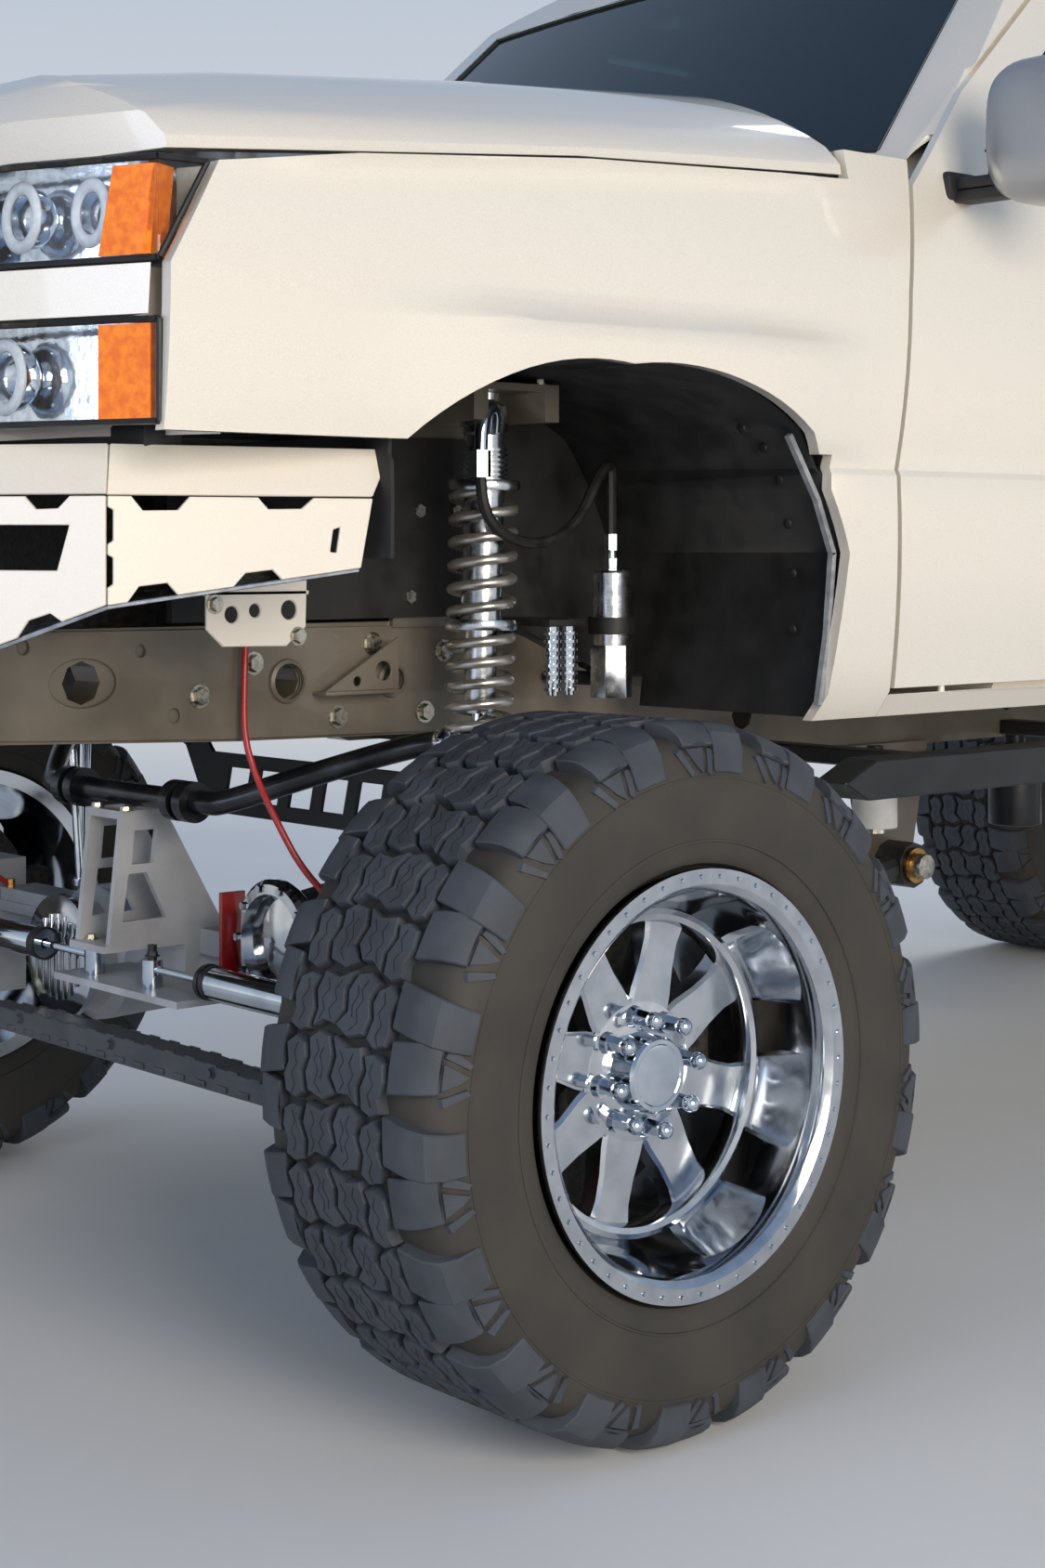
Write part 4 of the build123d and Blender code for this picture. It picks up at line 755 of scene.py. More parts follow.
for index in range(48):
    turn = math.tau * index / 48
    x, z = 0.2870 * math.sin(turn), 0.2870 * math.cos(turn)
    add_bar(fittings_shape, (x, 0.1845, z), (x, 0.1885, z), 0.0042, 10, 0.0026)
add_bar(fittings_shape, (0.252, 0.090, 0.05), (0.246, 0.128, 0.05), 0.0045, 12)
fittings_mesh = bpy.data.meshes.new("fittings")
fittings_shape.to_mesh(fittings_mesh)
fittings_shape.free()

disc_shape = bmesh.new()
disc_profile = [(0.100, -0.060), (0.205, -0.060), (0.205, -0.052), (0.200, -0.050), (0.200, -0.044),
                (0.205, -0.042), (0.205, -0.034), (0.100, -0.034)]
add_spun(disc_shape, disc_profile, (0, 0, 0), (0, 1, 0), 72, True)
add_spun(disc_shape, [(0.0001, -0.045), (0.098, -0.045), (0.098, 0.020), (0.0001, 0.026)], (0, 0, 0), (0, 1, 0), 48)
for index in range(24):
    turn = math.tau * index / 24
    for radius in (0.135, 0.170):
        x, z = radius * math.sin(turn + radius * 3), radius * math.cos(turn + radius * 3)
        add_bar(disc_shape, (x, -0.036, z), (x, -0.0335, z), 0.004, 8)
disc_mesh = bpy.data.meshes.new("disc")
disc_shape.to_mesh(disc_mesh)
disc_shape.free()
print("wheel faces", len(wheel_mesh.polygons), "fittings", len(fittings_mesh.polygons))

# %% [markdown]
# ## Four wheels in place
#
# The finished tyre and wheel are copied to each corner. A wheel on the right side is
# the mirror image, and each one is turned by its own angle, because no two wheels
# stop at the same point.

# %% Place tyres and wheels
turns = {("front", "left"): 0.13, ("front", "right"): 0.75, ("rear", "left"): 1.9, ("rear", "right"): 2.6}
for axle, behind in (("front", 0), ("rear", WHEELBASE * 1000)):
    for hand, sign in SIDES:
        place = Matrix.Translation((at(behind), sign * HALF_TRACK, WHEEL_RADIUS)) @ \
            Matrix.Rotation(turns[axle, hand], 4, "Y") @ Matrix.Diagonal((1, sign, 1, 1))
        body = f"wheel_{axle}_{hand}"
        for part, mesh, slot, finish, replaced in (
                ("tread", tread_mesh, "tyre", tread_rubber, ()),
                # the sipe ribbons carry painted shade, darker than the tread rubber
                ("tread_sipes", sipe_mesh, "tyre", groove_rubber, ()),
                ("carcass", carcass_mesh, "tyre", sidewall_rubber, (f"tyre_{axle}_{hand}",)),
                ("wheel", wheel_mesh, "wheel_metal", polished_aluminium, (f"rim_{axle}_{hand}",)),
                ("wheel_fittings", fittings_mesh, "chrome", chromed_steel, ()),
                ("brake_disc", disc_mesh, "iron", cast_iron, ())):
            shape = bmesh.new()
            add_copy(shape, mesh, place)
            piece(f"{part}_{axle}_{hand}", shape, body, slot, finish, 30, replaced)
print("wheels placed:", len(turns))

# %% [markdown]
# ## Softened edges
#
# Pressed and cut metal never has a perfectly sharp edge, and the thin highlight along
# an edge is what makes it read as metal. The CAD solids are sharp, so the pieces that
# keep their shape are copied, their triangles are joined back into flat faces, and
# every sharp edge gets a narrow bevel.

# %% Softened copies of CAD nodes
def softened(node, width_mm, finish, body="root", segments=1):
    """Piece with the node's shape and a small bevel on each sharp edge; it replaces the node."""
    shape = bmesh.new()
    shape.from_mesh(nodes[node].data)
    bmesh.ops.remove_doubles(shape, verts=shape.verts, dist=2e-5)
    bmesh.ops.dissolve_limit(shape, angle_limit=math.radians(1.0), verts=shape.verts, edges=shape.edges,
                             delimit={"NORMAL"})
    sharp = [e for e in shape.edges if len(e.link_faces) == 2 and e.calc_face_angle(0) > math.radians(28)
             and e.calc_length() > width_mm / 1000]
    bmesh.ops.bevel(shape, geom=sharp, offset=width_mm / 1000, segments=segments, profile=0.5, material=-1,
                    affect="EDGES", clamp_overlap=True)
    mesh = bpy.data.meshes.new(node + "_soft")
    shape.to_mesh(mesh)
    shape.free()
    mesh.materials.clear()
    mesh.materials.append(finish)
    mesh.shade_smooth()
    mesh.set_sharp_from_angle(angle=math.radians(24))
    made = bpy.data.objects.new(node + "_soft", mesh)
    bpy.context.scene.collection.objects.link(made)
    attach(made, body)
    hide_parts(node)
    return made


body_of = {name: piece_node.parent.name.split(":")[1] for name, piece_node in nodes.items()}
# Node and bevel width in millimetres
soft_nodes = [
    ("front_fenders", 2.0), ("hood", 4.0), ("cab_shell", 2.5), ("door_front_left", 2.5),
    ("door_front_right", 2.5), ("door_rear_left", 2.5), ("door_rear_right", 2.5), ("bed", 3.0),
    ("tailgate", 4.0), ("nose_panel", 3.0), ("frame", 2.0), ("front_axle", 2.0), ("rear_axle", 3.0),
    ("sliders", 3.0), ("rear_bumper", 3.0), ("hitch", 2.0), ("engine", 8.0),
    ("knuckle_left", 3.0), ("knuckle_right", 3.0), ("rear_springs", 1.5),
]
for name, width in soft_nodes:
    softened(name, width, by_slot[slot_of[name]], body_of[name])
softened("tie_rod", 2.0, beam_grey, "tie_rod")
print("softened nodes:", len(soft_nodes))

# %% [markdown]
# ## Headlamps
#
# Each lamp is a bright housing behind a clear lens that wraps round the corner of the
# nose. Inside sit the reflector bowls with frosted light rings, and an amber turn
# signal at the outer end. The lens follows the same curve in plan as the nose panel,
# so it is bent from a flat grid, and its black gasket is a thin tube round its edge.

# %% Headlamps from the plan of the nose
NOSE_STEPS = [480, 540, 600, 660, 710, 754, 800, 846, 892, 938, 968, 984]


def nose_behind(y):
    """Station of the nose's surface at a distance from the middle, in millimetres."""
    return -900 + y * y / 11420 if y <= 754 else -850 + (y - 754) * 100 / 238


def lamp_end(z):
    """Station where the lamp ends beside the fender at a height."""
    if z > 1593:
        return -745 + (z - 1593) * 80 / 134 - 12
    return -750 + (z - 1385) * 5 / 208 - 12


def lamp_row(z, depth):
    """Points of a lamp's surface at a height, moved inwards by a depth, from the middle outwards."""
    row = [(nose_behind(y) + depth, min(y, 992 - depth)) for y in NOSE_STEPS if y < 990 - depth]
    row.append((-752 + depth, 990 - depth))
    end = max(lamp_end(z), -750 + depth)
    row.append(((end - 750) / 2 + depth / 2, 992 - depth))
    row.append((end, 992 - depth))
    return row


def add_lamp_surface(shape, z_low, z_high, depth, rows=5, thickness=0.003):
    """Curved sheet of a lamp between two heights, given a thickness inwards."""
    before = set(shape.verts)
    grid = []
    for index in range(rows):
        z = z_low + (z_high - z_low) * index / (rows - 1)
        grid.append([shape.verts.new(spot(b, y, z)) for b, y in lamp_row(z, depth)])
    count = min(len(row) for row in grid)
    faces = []
    for low, high in zip(grid, grid[1:]):
        for k in range(count - 1):
            faces.append(shape.faces.new((low[k], low[k + 1], high[k + 1], high[k])))
    bmesh.ops.recalc_face_normals(shape, faces=faces)
    bmesh.ops.solidify(shape, geom=faces, thickness=thickness)
    return keep_new(shape, before)


# Reflector bowls: y, z, radius; the outer two of the upper lamp carry light rings
upper_bowls = [(868, 1664, 40), (768, 1664, 42), (630, 1664, 46)]
lower_bowls = [(740, 1460, 46)]
for hand, sign in SIDES:
    side_turn = Matrix.Identity(4) if sign == 1 else ACROSS
    lens, housing, rings, amber, seal = (bmesh.new() for _ in range(5))
    for z_low, z_high, bowls in ((1599, 1724, upper_bowls), (1396, 1523, lower_bowls)):
        add_lamp_surface(lens, z_low, z_high, 1, 7)
        add_lamp_surface(housing, z_low, z_high, 74, 5, 0.002)
        for z in (z_low, z_high):
            ledge = [shape_point for shape_point in lamp_row(z, 2)]
            inner = [shape_point for shape_point in lamp_row(z, 74)]
            count = min(len(ledge), len(inner))
            outer_line = [housing.verts.new(spot(b, y, z)) for b, y in ledge[:count]]
            inner_line = [housing.verts.new(spot(b, y, z)) for b, y in inner[:count]]
            for k in range(count - 1):
                housing.faces.new((outer_line[k], outer_line[k + 1], inner_line[k + 1], inner_line[k]))
        for y, z, radius in bowls:
            x_face = at(nose_behind(y) + 34)
            bowl = [(radius / 1000, 0.0), (radius * 0.93 / 1000, -0.018), (radius * 0.7 / 1000, -0.034),
                    (radius * 0.3 / 1000, -0.044), (0.0001, -0.046)]
            add_spun(housing, bowl, (x_face, y / 1000, z / 1000), (1, 0, 0), 40)
            bmesh.ops.create_uvsphere(housing, u_segments=16, v_segments=8, radius=0.011,
                                      matrix=Matrix.Translation((x_face - 0.026, y / 1000, z / 1000)))
            if (y, z, radius) != upper_bowls[2]:
                ring = [(radius / 1000 - 0.004 + 0.009 * math.cos(math.tau * k / 10),
                         0.006 * math.sin(math.tau * k / 10) + 0.003) for k in range(10)]
                add_spun(rings, ring, (x_face, y / 1000, z / 1000), (1, 0, 0), 48, True)
        for level in range(6):
            z = z_low + 12 + (z_high - z_low - 24) * level / 5
            add_bar(housing, spot(nose_behind(500) + 44, 492, z), spot(nose_behind(560) + 44, 556, z), 0.004, 8)
        edge = [spot(b, y, z_low) for b, y in lamp_row(z_low, 0)]
        far = [spot(b, y, z_high) for b, y in lamp_row(z_high, 0)]
        loop = edge + far[::-1]
        for start, end in zip(loop, loop[1:] + loop[:1]):
            add_bar(seal, start, end, 0.0042, 8)
    # Amber blocks: outline across the nose as (y, z), from the front
    for z_low, z_high, lean in ((1604, 1716, 34), (1400, 1518, 0)):
        rows = []
        for k in range(9):
            y = 908 + 72 * k / 8
            for depth in (-0.8, 34):
                rows.append([(nose_behind(y) + depth, y - (8 if k < 8 else depth / 2) * (depth > 8), z_low),
                             (nose_behind(y + lean * 0.6) + depth, min(y + lean * 0.6, 984 - max(depth, 0) / 2), z_high)])
        for k in range(8):
            a0, a1 = rows[2 * k], rows[2 * k + 2]
            b0, b1 = rows[2 * k + 1], rows[2 * k + 3]
            p = [[amber.verts.new(spot(*corner)) for corner in pair] for pair in (a0, a1, b0, b1)]
            for quad in ((p[0][0], p[1][0], p[1][1], p[0][1]), (p[2][0], p[2][1], p[3][1], p[3][0]),
                         (p[0][0], p[2][0], p[3][0], p[1][0]), (p[0][1], p[1][1], p[3][1], p[2][1])):
                amber.faces.new(quad)
            for pair, other in ((p[0], p[2]), (p[1], p[3])):
                if (k == 0 and pair is p[0]) or (k == 7 and pair is p[1]):
                    amber.faces.new((pair[0], pair[1], other[1], other[0]))
    piece(f"lamp_lens_{hand}", lens, "root", "lamp", clear_lens, 40, ("headlamps",), side_turn)
    piece(f"lamp_housing_{hand}", housing, "root", "chrome", lamp_chrome, 40, (), side_turn)
    piece(f"lamp_rings_{hand}", rings, "root", "lamp", white_lens, 40, (), side_turn)
    piece(f"turn_signal_{hand}", amber, "root", "lamp", amber_lens, 30, (), side_turn)
    piece(f"lamp_seal_{hand}", seal, "root", "rubber", soft_rubber, 40, (), side_turn)
print("headlamps: lens, housing, rings, turn signals and seals on both sides")

# %% [markdown]
# ## Front bumper
#
# The bumper is cut from 6 mm steel plate, folded and welded from tabs and slots, then
# painted with the body. Its tell-tale details are the dark slots along each fold and
# the bright cut edge below. Each flat of the bumper is a plate with its own outline,
# notched along the folds, so that the slots are real openings.

# %% Bumper plates
def add_facet(shape, corners, thickness, holes=(), top_notches=(), low_notches=(), deep=0.016,
              far_edge=(), near_edge=()):
    """Plate between four corners (top left, top right, low right, low left). Holes and notches
    are given as shares of the length and height, and so are cuts in the far and near edge."""
    a, b, c, d = (Vector(corner) for corner in corners)
    along = (b - a).normalized()
    normal = along.cross(d - a).normalized()
    down = normal.cross(along)

    def flat(point):
        return ((point - a).dot(along), (point - a).dot(down))

    def inside(s, t):
        return flat(a.lerp(b, s).lerp(d.lerp(c, s), t))

    outline = [flat(a)]
    length, height = (b - a).length, ((d - a).length + (c - b).length) / 2
    for middle, width in top_notches:
        half, slope = width / length / 2, deep / length
        outline += [inside(middle - half, 0), inside(middle - half + slope, deep / height),
                    inside(middle + half - slope, deep / height), inside(middle + half, 0)]
    outline += [flat(b)] + [inside(s, t) for s, t in far_edge] + [flat(c)]
    for middle, width in low_notches[::-1]:
        half, slope = width / length / 2, deep / length
        outline += [inside(middle + half, 1), inside(middle + half - slope, 1 - deep / height),
                    inside(middle - half + slope, 1 - deep / height), inside(middle - half, 1)]
    outline += [flat(d)] + [inside(s, t) for s, t in near_edge]
    outlines = [outline] + [[inside(s, t) for s, t in hole] for hole in holes]
    place = Matrix((along, down, normal)).transposed().to_4x4()
    place.translation = a
    return add_plate(shape, outlines, thickness, place, 0.0012)


# Corners in plan with the low edge of the face: behind, y, low z
bumper_corners = [(-398, 962, 1212), (-762, 882, 1166), (-850, 756, 1112), (-1008, 530, 1040)]
FOLD, TOP, SET_BACK = 1305, 1371, 20
bumper_shape, edge_shape = bmesh.new(), bmesh.new()
facets = list(zip(bumper_corners, bumper_corners[1:]))
facet_slots = [
    dict(top_notches=((0.34, 0.08), (0.81, 0.08)), low_notches=((0.42, 0.072), (0.83, 0.072)),
         holes=([(0.112, 0.39), (0.112, 0.74), (0.14, 0.72), (0.14, 0.42)],),
         far_edge=((1, 0.10), (0.98, 0.13), (0.98, 0.41), (1, 0.44),
                   (1, 0.54), (0.98, 0.57), (0.98, 0.81), (1, 0.84))),
    dict(top_notches=((0.52, 0.062),), low_notches=((0.59, 0.062),),
         far_edge=((1, 0.19), (0.32, 0.237), (0.43, 0.586), (1, 0.49))),
    dict(top_notches=((0.4, 0.08),), low_notches=((0.45, 0.08),),
         near_edge=((0, 0.49), (0.69, 0.39), (0.6, 0.157), (0, 0.19))),
]
for (near, far), slots in zip(facets, facet_slots):
    (b1, y1, z1), (b2, y2, z2) = near, far
    if near == bumper_corners[0]:
        foot = spot(-415, 958, z1)
    else:
        foot = spot(b1, y1, z1)
    add_facet(bumper_shape, (spot(b1, y1, FOLD), spot(b2, y2, FOLD), spot(b2, y2, z2), foot), 0.006, **slots)
    top_near = spot(-357, 972 - SET_BACK, TOP) if near == bumper_corners[0] else \
        spot(b1 + SET_BACK * 0.8, y1 - SET_BACK, TOP)
    top_far = spot(b2 + SET_BACK * 0.8, y2 - SET_BACK, TOP)
    add_facet(bumper_shape, (top_near, top_far, spot(b2, y2, FOLD + 1.5), spot(b1, y1, FOLD + 1.5)), 0.006)
    inset = Vector((-0.03, -0.055, 0))
    add_facet(edge_shape, (foot, spot(b2, y2, z2), spot(b2, y2, z2 + 14) + inset, foot + inset + Vector((0, 0, 0.014))),
              0.006)
    lid = Vector((-0.05, -0.06, 0))
    add_facet(bumper_shape, (top_near, top_far, top_far + lid, top_near + lid), 0.006)
half_mesh = bpy.data.meshes.new("bumper_half")
bumper_shape.to_mesh(half_mesh)
add_copy(bumper_shape, half_mesh, ACROSS)
middle_front = [spot(-1008, 530, FOLD), spot(-1008, -530, FOLD), spot(-1008, -530, 1040), spot(-1008, 530, 1040)]
add_facet(bumper_shape, middle_front, 0.006, top_notches=((0.2, 0.09), (0.5, 0.09), (0.8, 0.09)),
          low_notches=((0.25, 0.09), (0.75, 0.09)),
          holes=([(0.2, 0.3), (0.26, 0.72), (0.74, 0.72), (0.8, 0.3)],))
top_middle = [spot(-992, 510, TOP), spot(-992, -510, TOP), spot(-1008, -530, FOLD + 1.5), spot(-1008, 530, FOLD + 1.5)]
add_facet(bumper_shape, top_middle, 0.006)
add_facet(bumper_shape, (top_middle[0], top_middle[1], spot(-932, -510, TOP), spot(-932, 510, TOP)), 0.006)
for sign in (1, -1):
    y = sign * 400
    arm = [spot(b, y, z) for b, z in ((-770, 960), (-770, 1110), (-985, 1300), (-1000, 1300), (-1000, 1060),
                                      (-985, 1060))]
    sheet = bumper_shape.faces.new([bumper_shape.verts.new(p) for p in arm])
    grown = bmesh.ops.extrude_face_region(bumper_shape, geom=[sheet])["geom"]
    bmesh.ops.translate(bumper_shape, verts=[g for g in grown if isinstance(g, bmesh.types.BMVert)],
                        vec=(0, sign * 0.008, 0))
PLATE_BACK = Matrix.Translation((-0.005, 0, 0))
piece("bumper_plates", bumper_shape, "root", "paint", bumper_paint, 20, ("front_bumper",), PLATE_BACK)
edge_mesh = bpy.data.meshes.new("edge_half")
edge_shape.to_mesh(edge_mesh)
add_copy(edge_shape, edge_mesh, ACROSS)
piece("bumper_cut_edge", edge_shape, "root", "chrome", turned_aluminium, 20, (), PLATE_BACK)
print("bumper facets:", 2 * len(facets) * 2 + 2)

# %% [markdown]
# ## Coil springs and dampers
#
# A coilover is a damper with a coil spring round it. The spring wire is 15 mm thick
# and winds in a helix, closer at its ends. A circle spun round the damper's axis with
# a rise per step makes exactly that. The damper has a chrome shaft below, a polished
# body above and ribbed collars that hold the spring.

# %% Coilovers with helical springs
def add_helix(shape, start, end, coil_radius, wire_radius, turns, steps_per_turn=28, sides=10):
    """Spring wire wound from start to end."""
    start, end = Vector(start), Vector(end)
    axis = (end - start).normalized()
    base = Matrix.Translation(start) @ turn_to(axis)
    before = set(shape.verts)
    ring = [shape.verts.new(base @ Vector((coil_radius + wire_radius * math.cos(math.tau * k / sides), 0,
                                           wire_radius * math.sin(math.tau * k / sides)))) for k in range(sides)]
    face = shape.faces.new(ring)
    steps = round(turns * steps_per_turn)
    bmesh.ops.spin(shape, geom=[face], cent=start, axis=axis, dvec=(end - start) / steps,
                   angle=math.tau * turns, steps=steps)
    return keep_new(shape, before)


for hand, sign in SIDES:
    foot, head = spot(110, 590, 561), spot(135, 590, 1487)
    axis = head - foot
    spring_shape, bright, dark, body_shape = (bmesh.new() for _ in range(4))
    add_helix(spring_shape, foot + axis * 0.415, foot + axis * 0.60, 0.0485, 0.0085, 5.2)
    add_helix(spring_shape, foot + axis * 0.615, foot + axis * 0.83, 0.0485, 0.0085, 5.4)
    for level in (0.40, 0.60, 0.84):
        place = foot + axis * level
        add_spun(body_shape, [(0.030, -0.008), (0.057, -0.008), (0.0585, -0.004), (0.0585, 0.004), (0.057, 0.008),
                              (0.030, 0.008)], place, axis, 48, True)
    add_spun(bright, [(0.0001, 0), (0.0125, 0), (0.0125, 0.44), (0.0001, 0.44)], foot, axis, 24)
    add_spun(body_shape, [(0.0001, 0.415), (0.024, 0.415), (0.026, 0.43), (0.026, 0.55), (0.0330, 0.555),
                          (0.0330, 0.858), (0.0360, 0.862), (0.0360, 0.905), (0.022, 0.912), (0.022, 0.926),
                          (0.0001, 0.926)], foot, axis, 40)
    for rib in range(7):
        add_spun(body_shape, [(0.030, -0.002), (0.0375, -0.002), (0.0375, 0.002), (0.030, 0.002)],
                 foot + axis * (0.850 + rib * 0.0085), axis, 32, True)
    add_bar(dark, foot, foot + axis * 0.04, 0.026, 20)
    add_bar(dark, foot + Vector((0, -0.045, 0.016)), foot + Vector((0, 0.045, 0.016)), 0.011, 16)
    # Elbow, hose and reservoir
    elbow = [spot(120, 625, 1425), spot(112, 640, 1462), spot(86, 650, 1462), spot(72, 650, 1430), spot(72, 650, 1380)]
    add_tube(bright, elbow, 0.0115, 16)
    add_bar(bright, spot(72, 650, 1350), spot(72, 650, 1392), 0.0165, 6)
    hose = [spot(72, 650, 1360), spot(72, 650, 1310), spot(110, 648, 1262), spot(200, 640, 1240),
            spot(300, 628, 1275), spot(360, 615, 1360), spot(404, 600, 1385), spot(404, 600, 1330), spot(404, 600, 1250)]
    add_tube(dark, hose, 0.009, 12)
    add_bar(body_shape, spot(404, 600, 990), spot(404, 600, 1078), 0.036, 6, soften=0.0015)
    add_spun(body_shape, [(0.0001, 0), (0.031, 0), (0.031, 0.122), (0.028, 0.126), (0.0001, 0.126)],
             spot(404, 600, 1076), (0, 0, 1), 40)
    for rib in range(16):
        add_spun(body_shape, [(0.029, 0), (0.0322, 0.0008), (0.0322, 0.0026), (0.029, 0.0034)],
                 spot(404, 600, 1090 + rib * 6.2), (0, 0, 1), 32, True)
    add_bar(bright, spot(404, 600, 1200), spot(404, 600, 1222), 0.013, 6)
    add_bar(bright, spot(404, 600, 1222), spot(404, 600, 1236), 0.010, 16)
    add_bar(bright, spot(404, 600, 1236), spot(404, 600, 1262), 0.0125, 6)
    add_bar(dark, spot(404, 445, 1020), spot(404, 572, 1020), 0.012, 12)
    # Two ribbed bump stops beside the reservoir, on a bracket from the rail
    add_box(dark, spot(312, 442, 1112), spot(228, 640, 1124), 0.002)
    for b in (252, 288):
        add_bar(bright, spot(b, 620, 1000), spot(b, 620, 1113), 0.0105, 20)
        for rib in range(8):
            add_spun(bright, [(0.009, 0), (0.0145, 0.001), (0.0145, 0.006), (0.009, 0.007)],
                     spot(b, 620, 1006 + rib * 13), (0, 0, 1), 24, True)
    add_spun(dark, [(0.030, -0.014), (0.0385, -0.014), (0.0385, 0.014), (0.030, 0.014)], spot(404, 600, 1110),
             (0, 0, 1), 32, True)
    turn_side = Matrix.Identity(4) if sign == 1 else ACROSS
    replaced_spring = ("springs",) if sign == 1 else ()
    replaced_damper = tuple(n for n in ("coilovers", "reservoirs") if n in nodes)
    piece(f"coil_spring_{hand}", spring_shape, "root", "spring_steel", silver_powder, 40, ("springs",), turn_side)
    piece(f"damper_body_{hand}", body_shape, "root", "wheel_metal", turned_aluminium, 35, replaced_damper, turn_side)
    piece(f"damper_chrome_{hand}", bright, "root", "chrome", chromed_steel, 40, (), turn_side)
    piece(f"damper_hose_{hand}", dark, "root", "rubber", soft_rubber, 40, (), turn_side)
print("coilovers and reservoirs on both sides")

# %% [markdown]
# ## Frame plates, brackets and bolts
#
# Each frame rail is stiffened in front by a laser-cut plate. It has pressed holes,
# gussets and hex bolts with washers. The plates sit on the rail's outer face, and the
# bracket that carries the bumper hangs beside them in body colour.

# %% Frame plates and brackets
for hand, sign in SIDES:
    side_turn = Matrix.Identity(4) if sign == 1 else ACROSS
    plates, bolts, bracket, holes_shape = (bmesh.new() for _ in range(4))
    # The plate's plane: first axis runs backwards, second upwards, third to the left
    face = Matrix(((-1, 0, 0, at(0)), (0, 0, 1, 0.4355), (0, 1, 0, 0), (0, 0, 0, 1)))
    outline = [(-0.766, 0.966), (-0.60, 0.958), (-0.27, 0.944), (0.20, 0.936), (0.24, 0.95), (0.24, 1.112),
               (-0.70, 1.118), (-0.766, 1.10)]
    oval = [(-0.520 + 0.058 * math.cos(math.tau * k / 24) * (1 if k % 12 else 1), 1.040 + 0.036 *
             math.sin(math.tau * k / 24)) for k in range(24)]
    add_plate(plates, [outline, oval, circle(-0.150, 1.030, 0.028, 20), circle(0.060, 1.025, 0.022, 20),
                       circle(-0.42, 1.085, 0.009), circle(-0.36, 0.985, 0.011), circle(-0.62, 1.095, 0.010)],
              0.006, face, 0.0015)
    for x, z, radius in ((-0.150, 1.030, 0.028), (0.060, 1.025, 0.022)):
        add_spun(plates, [(radius, 0.0), (radius + 0.008, 0.0), (radius + 0.006, 0.005), (radius, 0.007)],
                 (at(x * 1000), 0.4415, z), (0, 1, 0), 32, True)
    for x, z in ((-0.315, 1.013), (-0.215, 1.060), (-0.69, 1.08), (-0.69, 0.99), (0.02, 1.085), (0.13, 0.97),
                 (0.17, 1.07), (-0.05, 0.97)):
        add_bolt(bolts, (at(x * 1000), 0.4415, z), (0, 1, 0), 0.016)
    gusset = [(-0.10, 0.0), (0.05, 0.0), (0.05, 0.085)]
    gusset_face = Matrix(((-1, 0, 0, at(0)), (0, 0, 1, 0.470), (0, 1, 0, 1.012), (0, 0, 0, 1)))
    add_plate(plates, [gusset, circle(0.018, 0.030, 0.016, 16), circle(-0.035, 0.015, 0.008, 12)], 0.005,
              gusset_face, 0.001)
    add_box(plates, spot(50, 440, 1006), spot(-100, 478, 1012), 0.001)
    # Cream bracket behind the bumper's wing
    hang = [(-0.483, 1.300), (-0.483, 1.125), (-0.455, 1.100), (-0.345, 1.098), (-0.310, 1.125), (-0.305, 1.300)]
    hang_face = Matrix(((-1, 0, 0, at(0)), (0, 0, 1, 0.700), (0, 1, 0, 0), (0, 0, 0, 1)))
    add_plate(bracket, [hang, circle(-0.44, 1.145, 0.012), circle(-0.40, 1.150, 0.010), circle(-0.34, 1.150, 0.014)],
              0.006, hang_face, 0.0015)
    add_box(bracket, spot(-305, 640, 1172), spot(-483, 706, 1178), 0.001)
    for b, z in ((-470, 1160), (-325, 1112)):
        add_bolt(bolts, spot(b, 706, z), (0, 1, 0), 0.012)
    # Bolts of the coilover's tower and cap, and of the body mounts behind it
    for b, z in ((90, 1460), (215, 1460), (110, 1300), (190, 1300), (90, 1160), (235, 1160)):
        add_bolt(bolts, spot(b, 446.5, z), (0, 1, 0), 0.014)
    for b in (75, 205):
        add_bolt(bolts, spot(b, 640, 1500.5), (0, 0, 1), 0.012)
    piece(f"frame_plates_{hand}", plates, "root", "frame_paint", satin_bronze, 30, (), side_turn)
    piece(f"frame_bolts_{hand}", bolts, "root", "spring_steel", zinc_bolt, 30, (), side_turn)
    piece(f"bumper_bracket_{hand}", bracket, "root", "paint", bumper_paint, 30, (), side_turn)
    holes_shape.free()
print("frame plates and bolts on both sides")

# %% [markdown]
# ## Sway bar and front axle
#
# The sway bar is one round bar bent down at both ends and joined to the axle by short
# links with ball ends. The axle below it is a fabricated beam with a steering tower.
# Bolts, collars and a polished cover ring are what is added to the CAD beam.

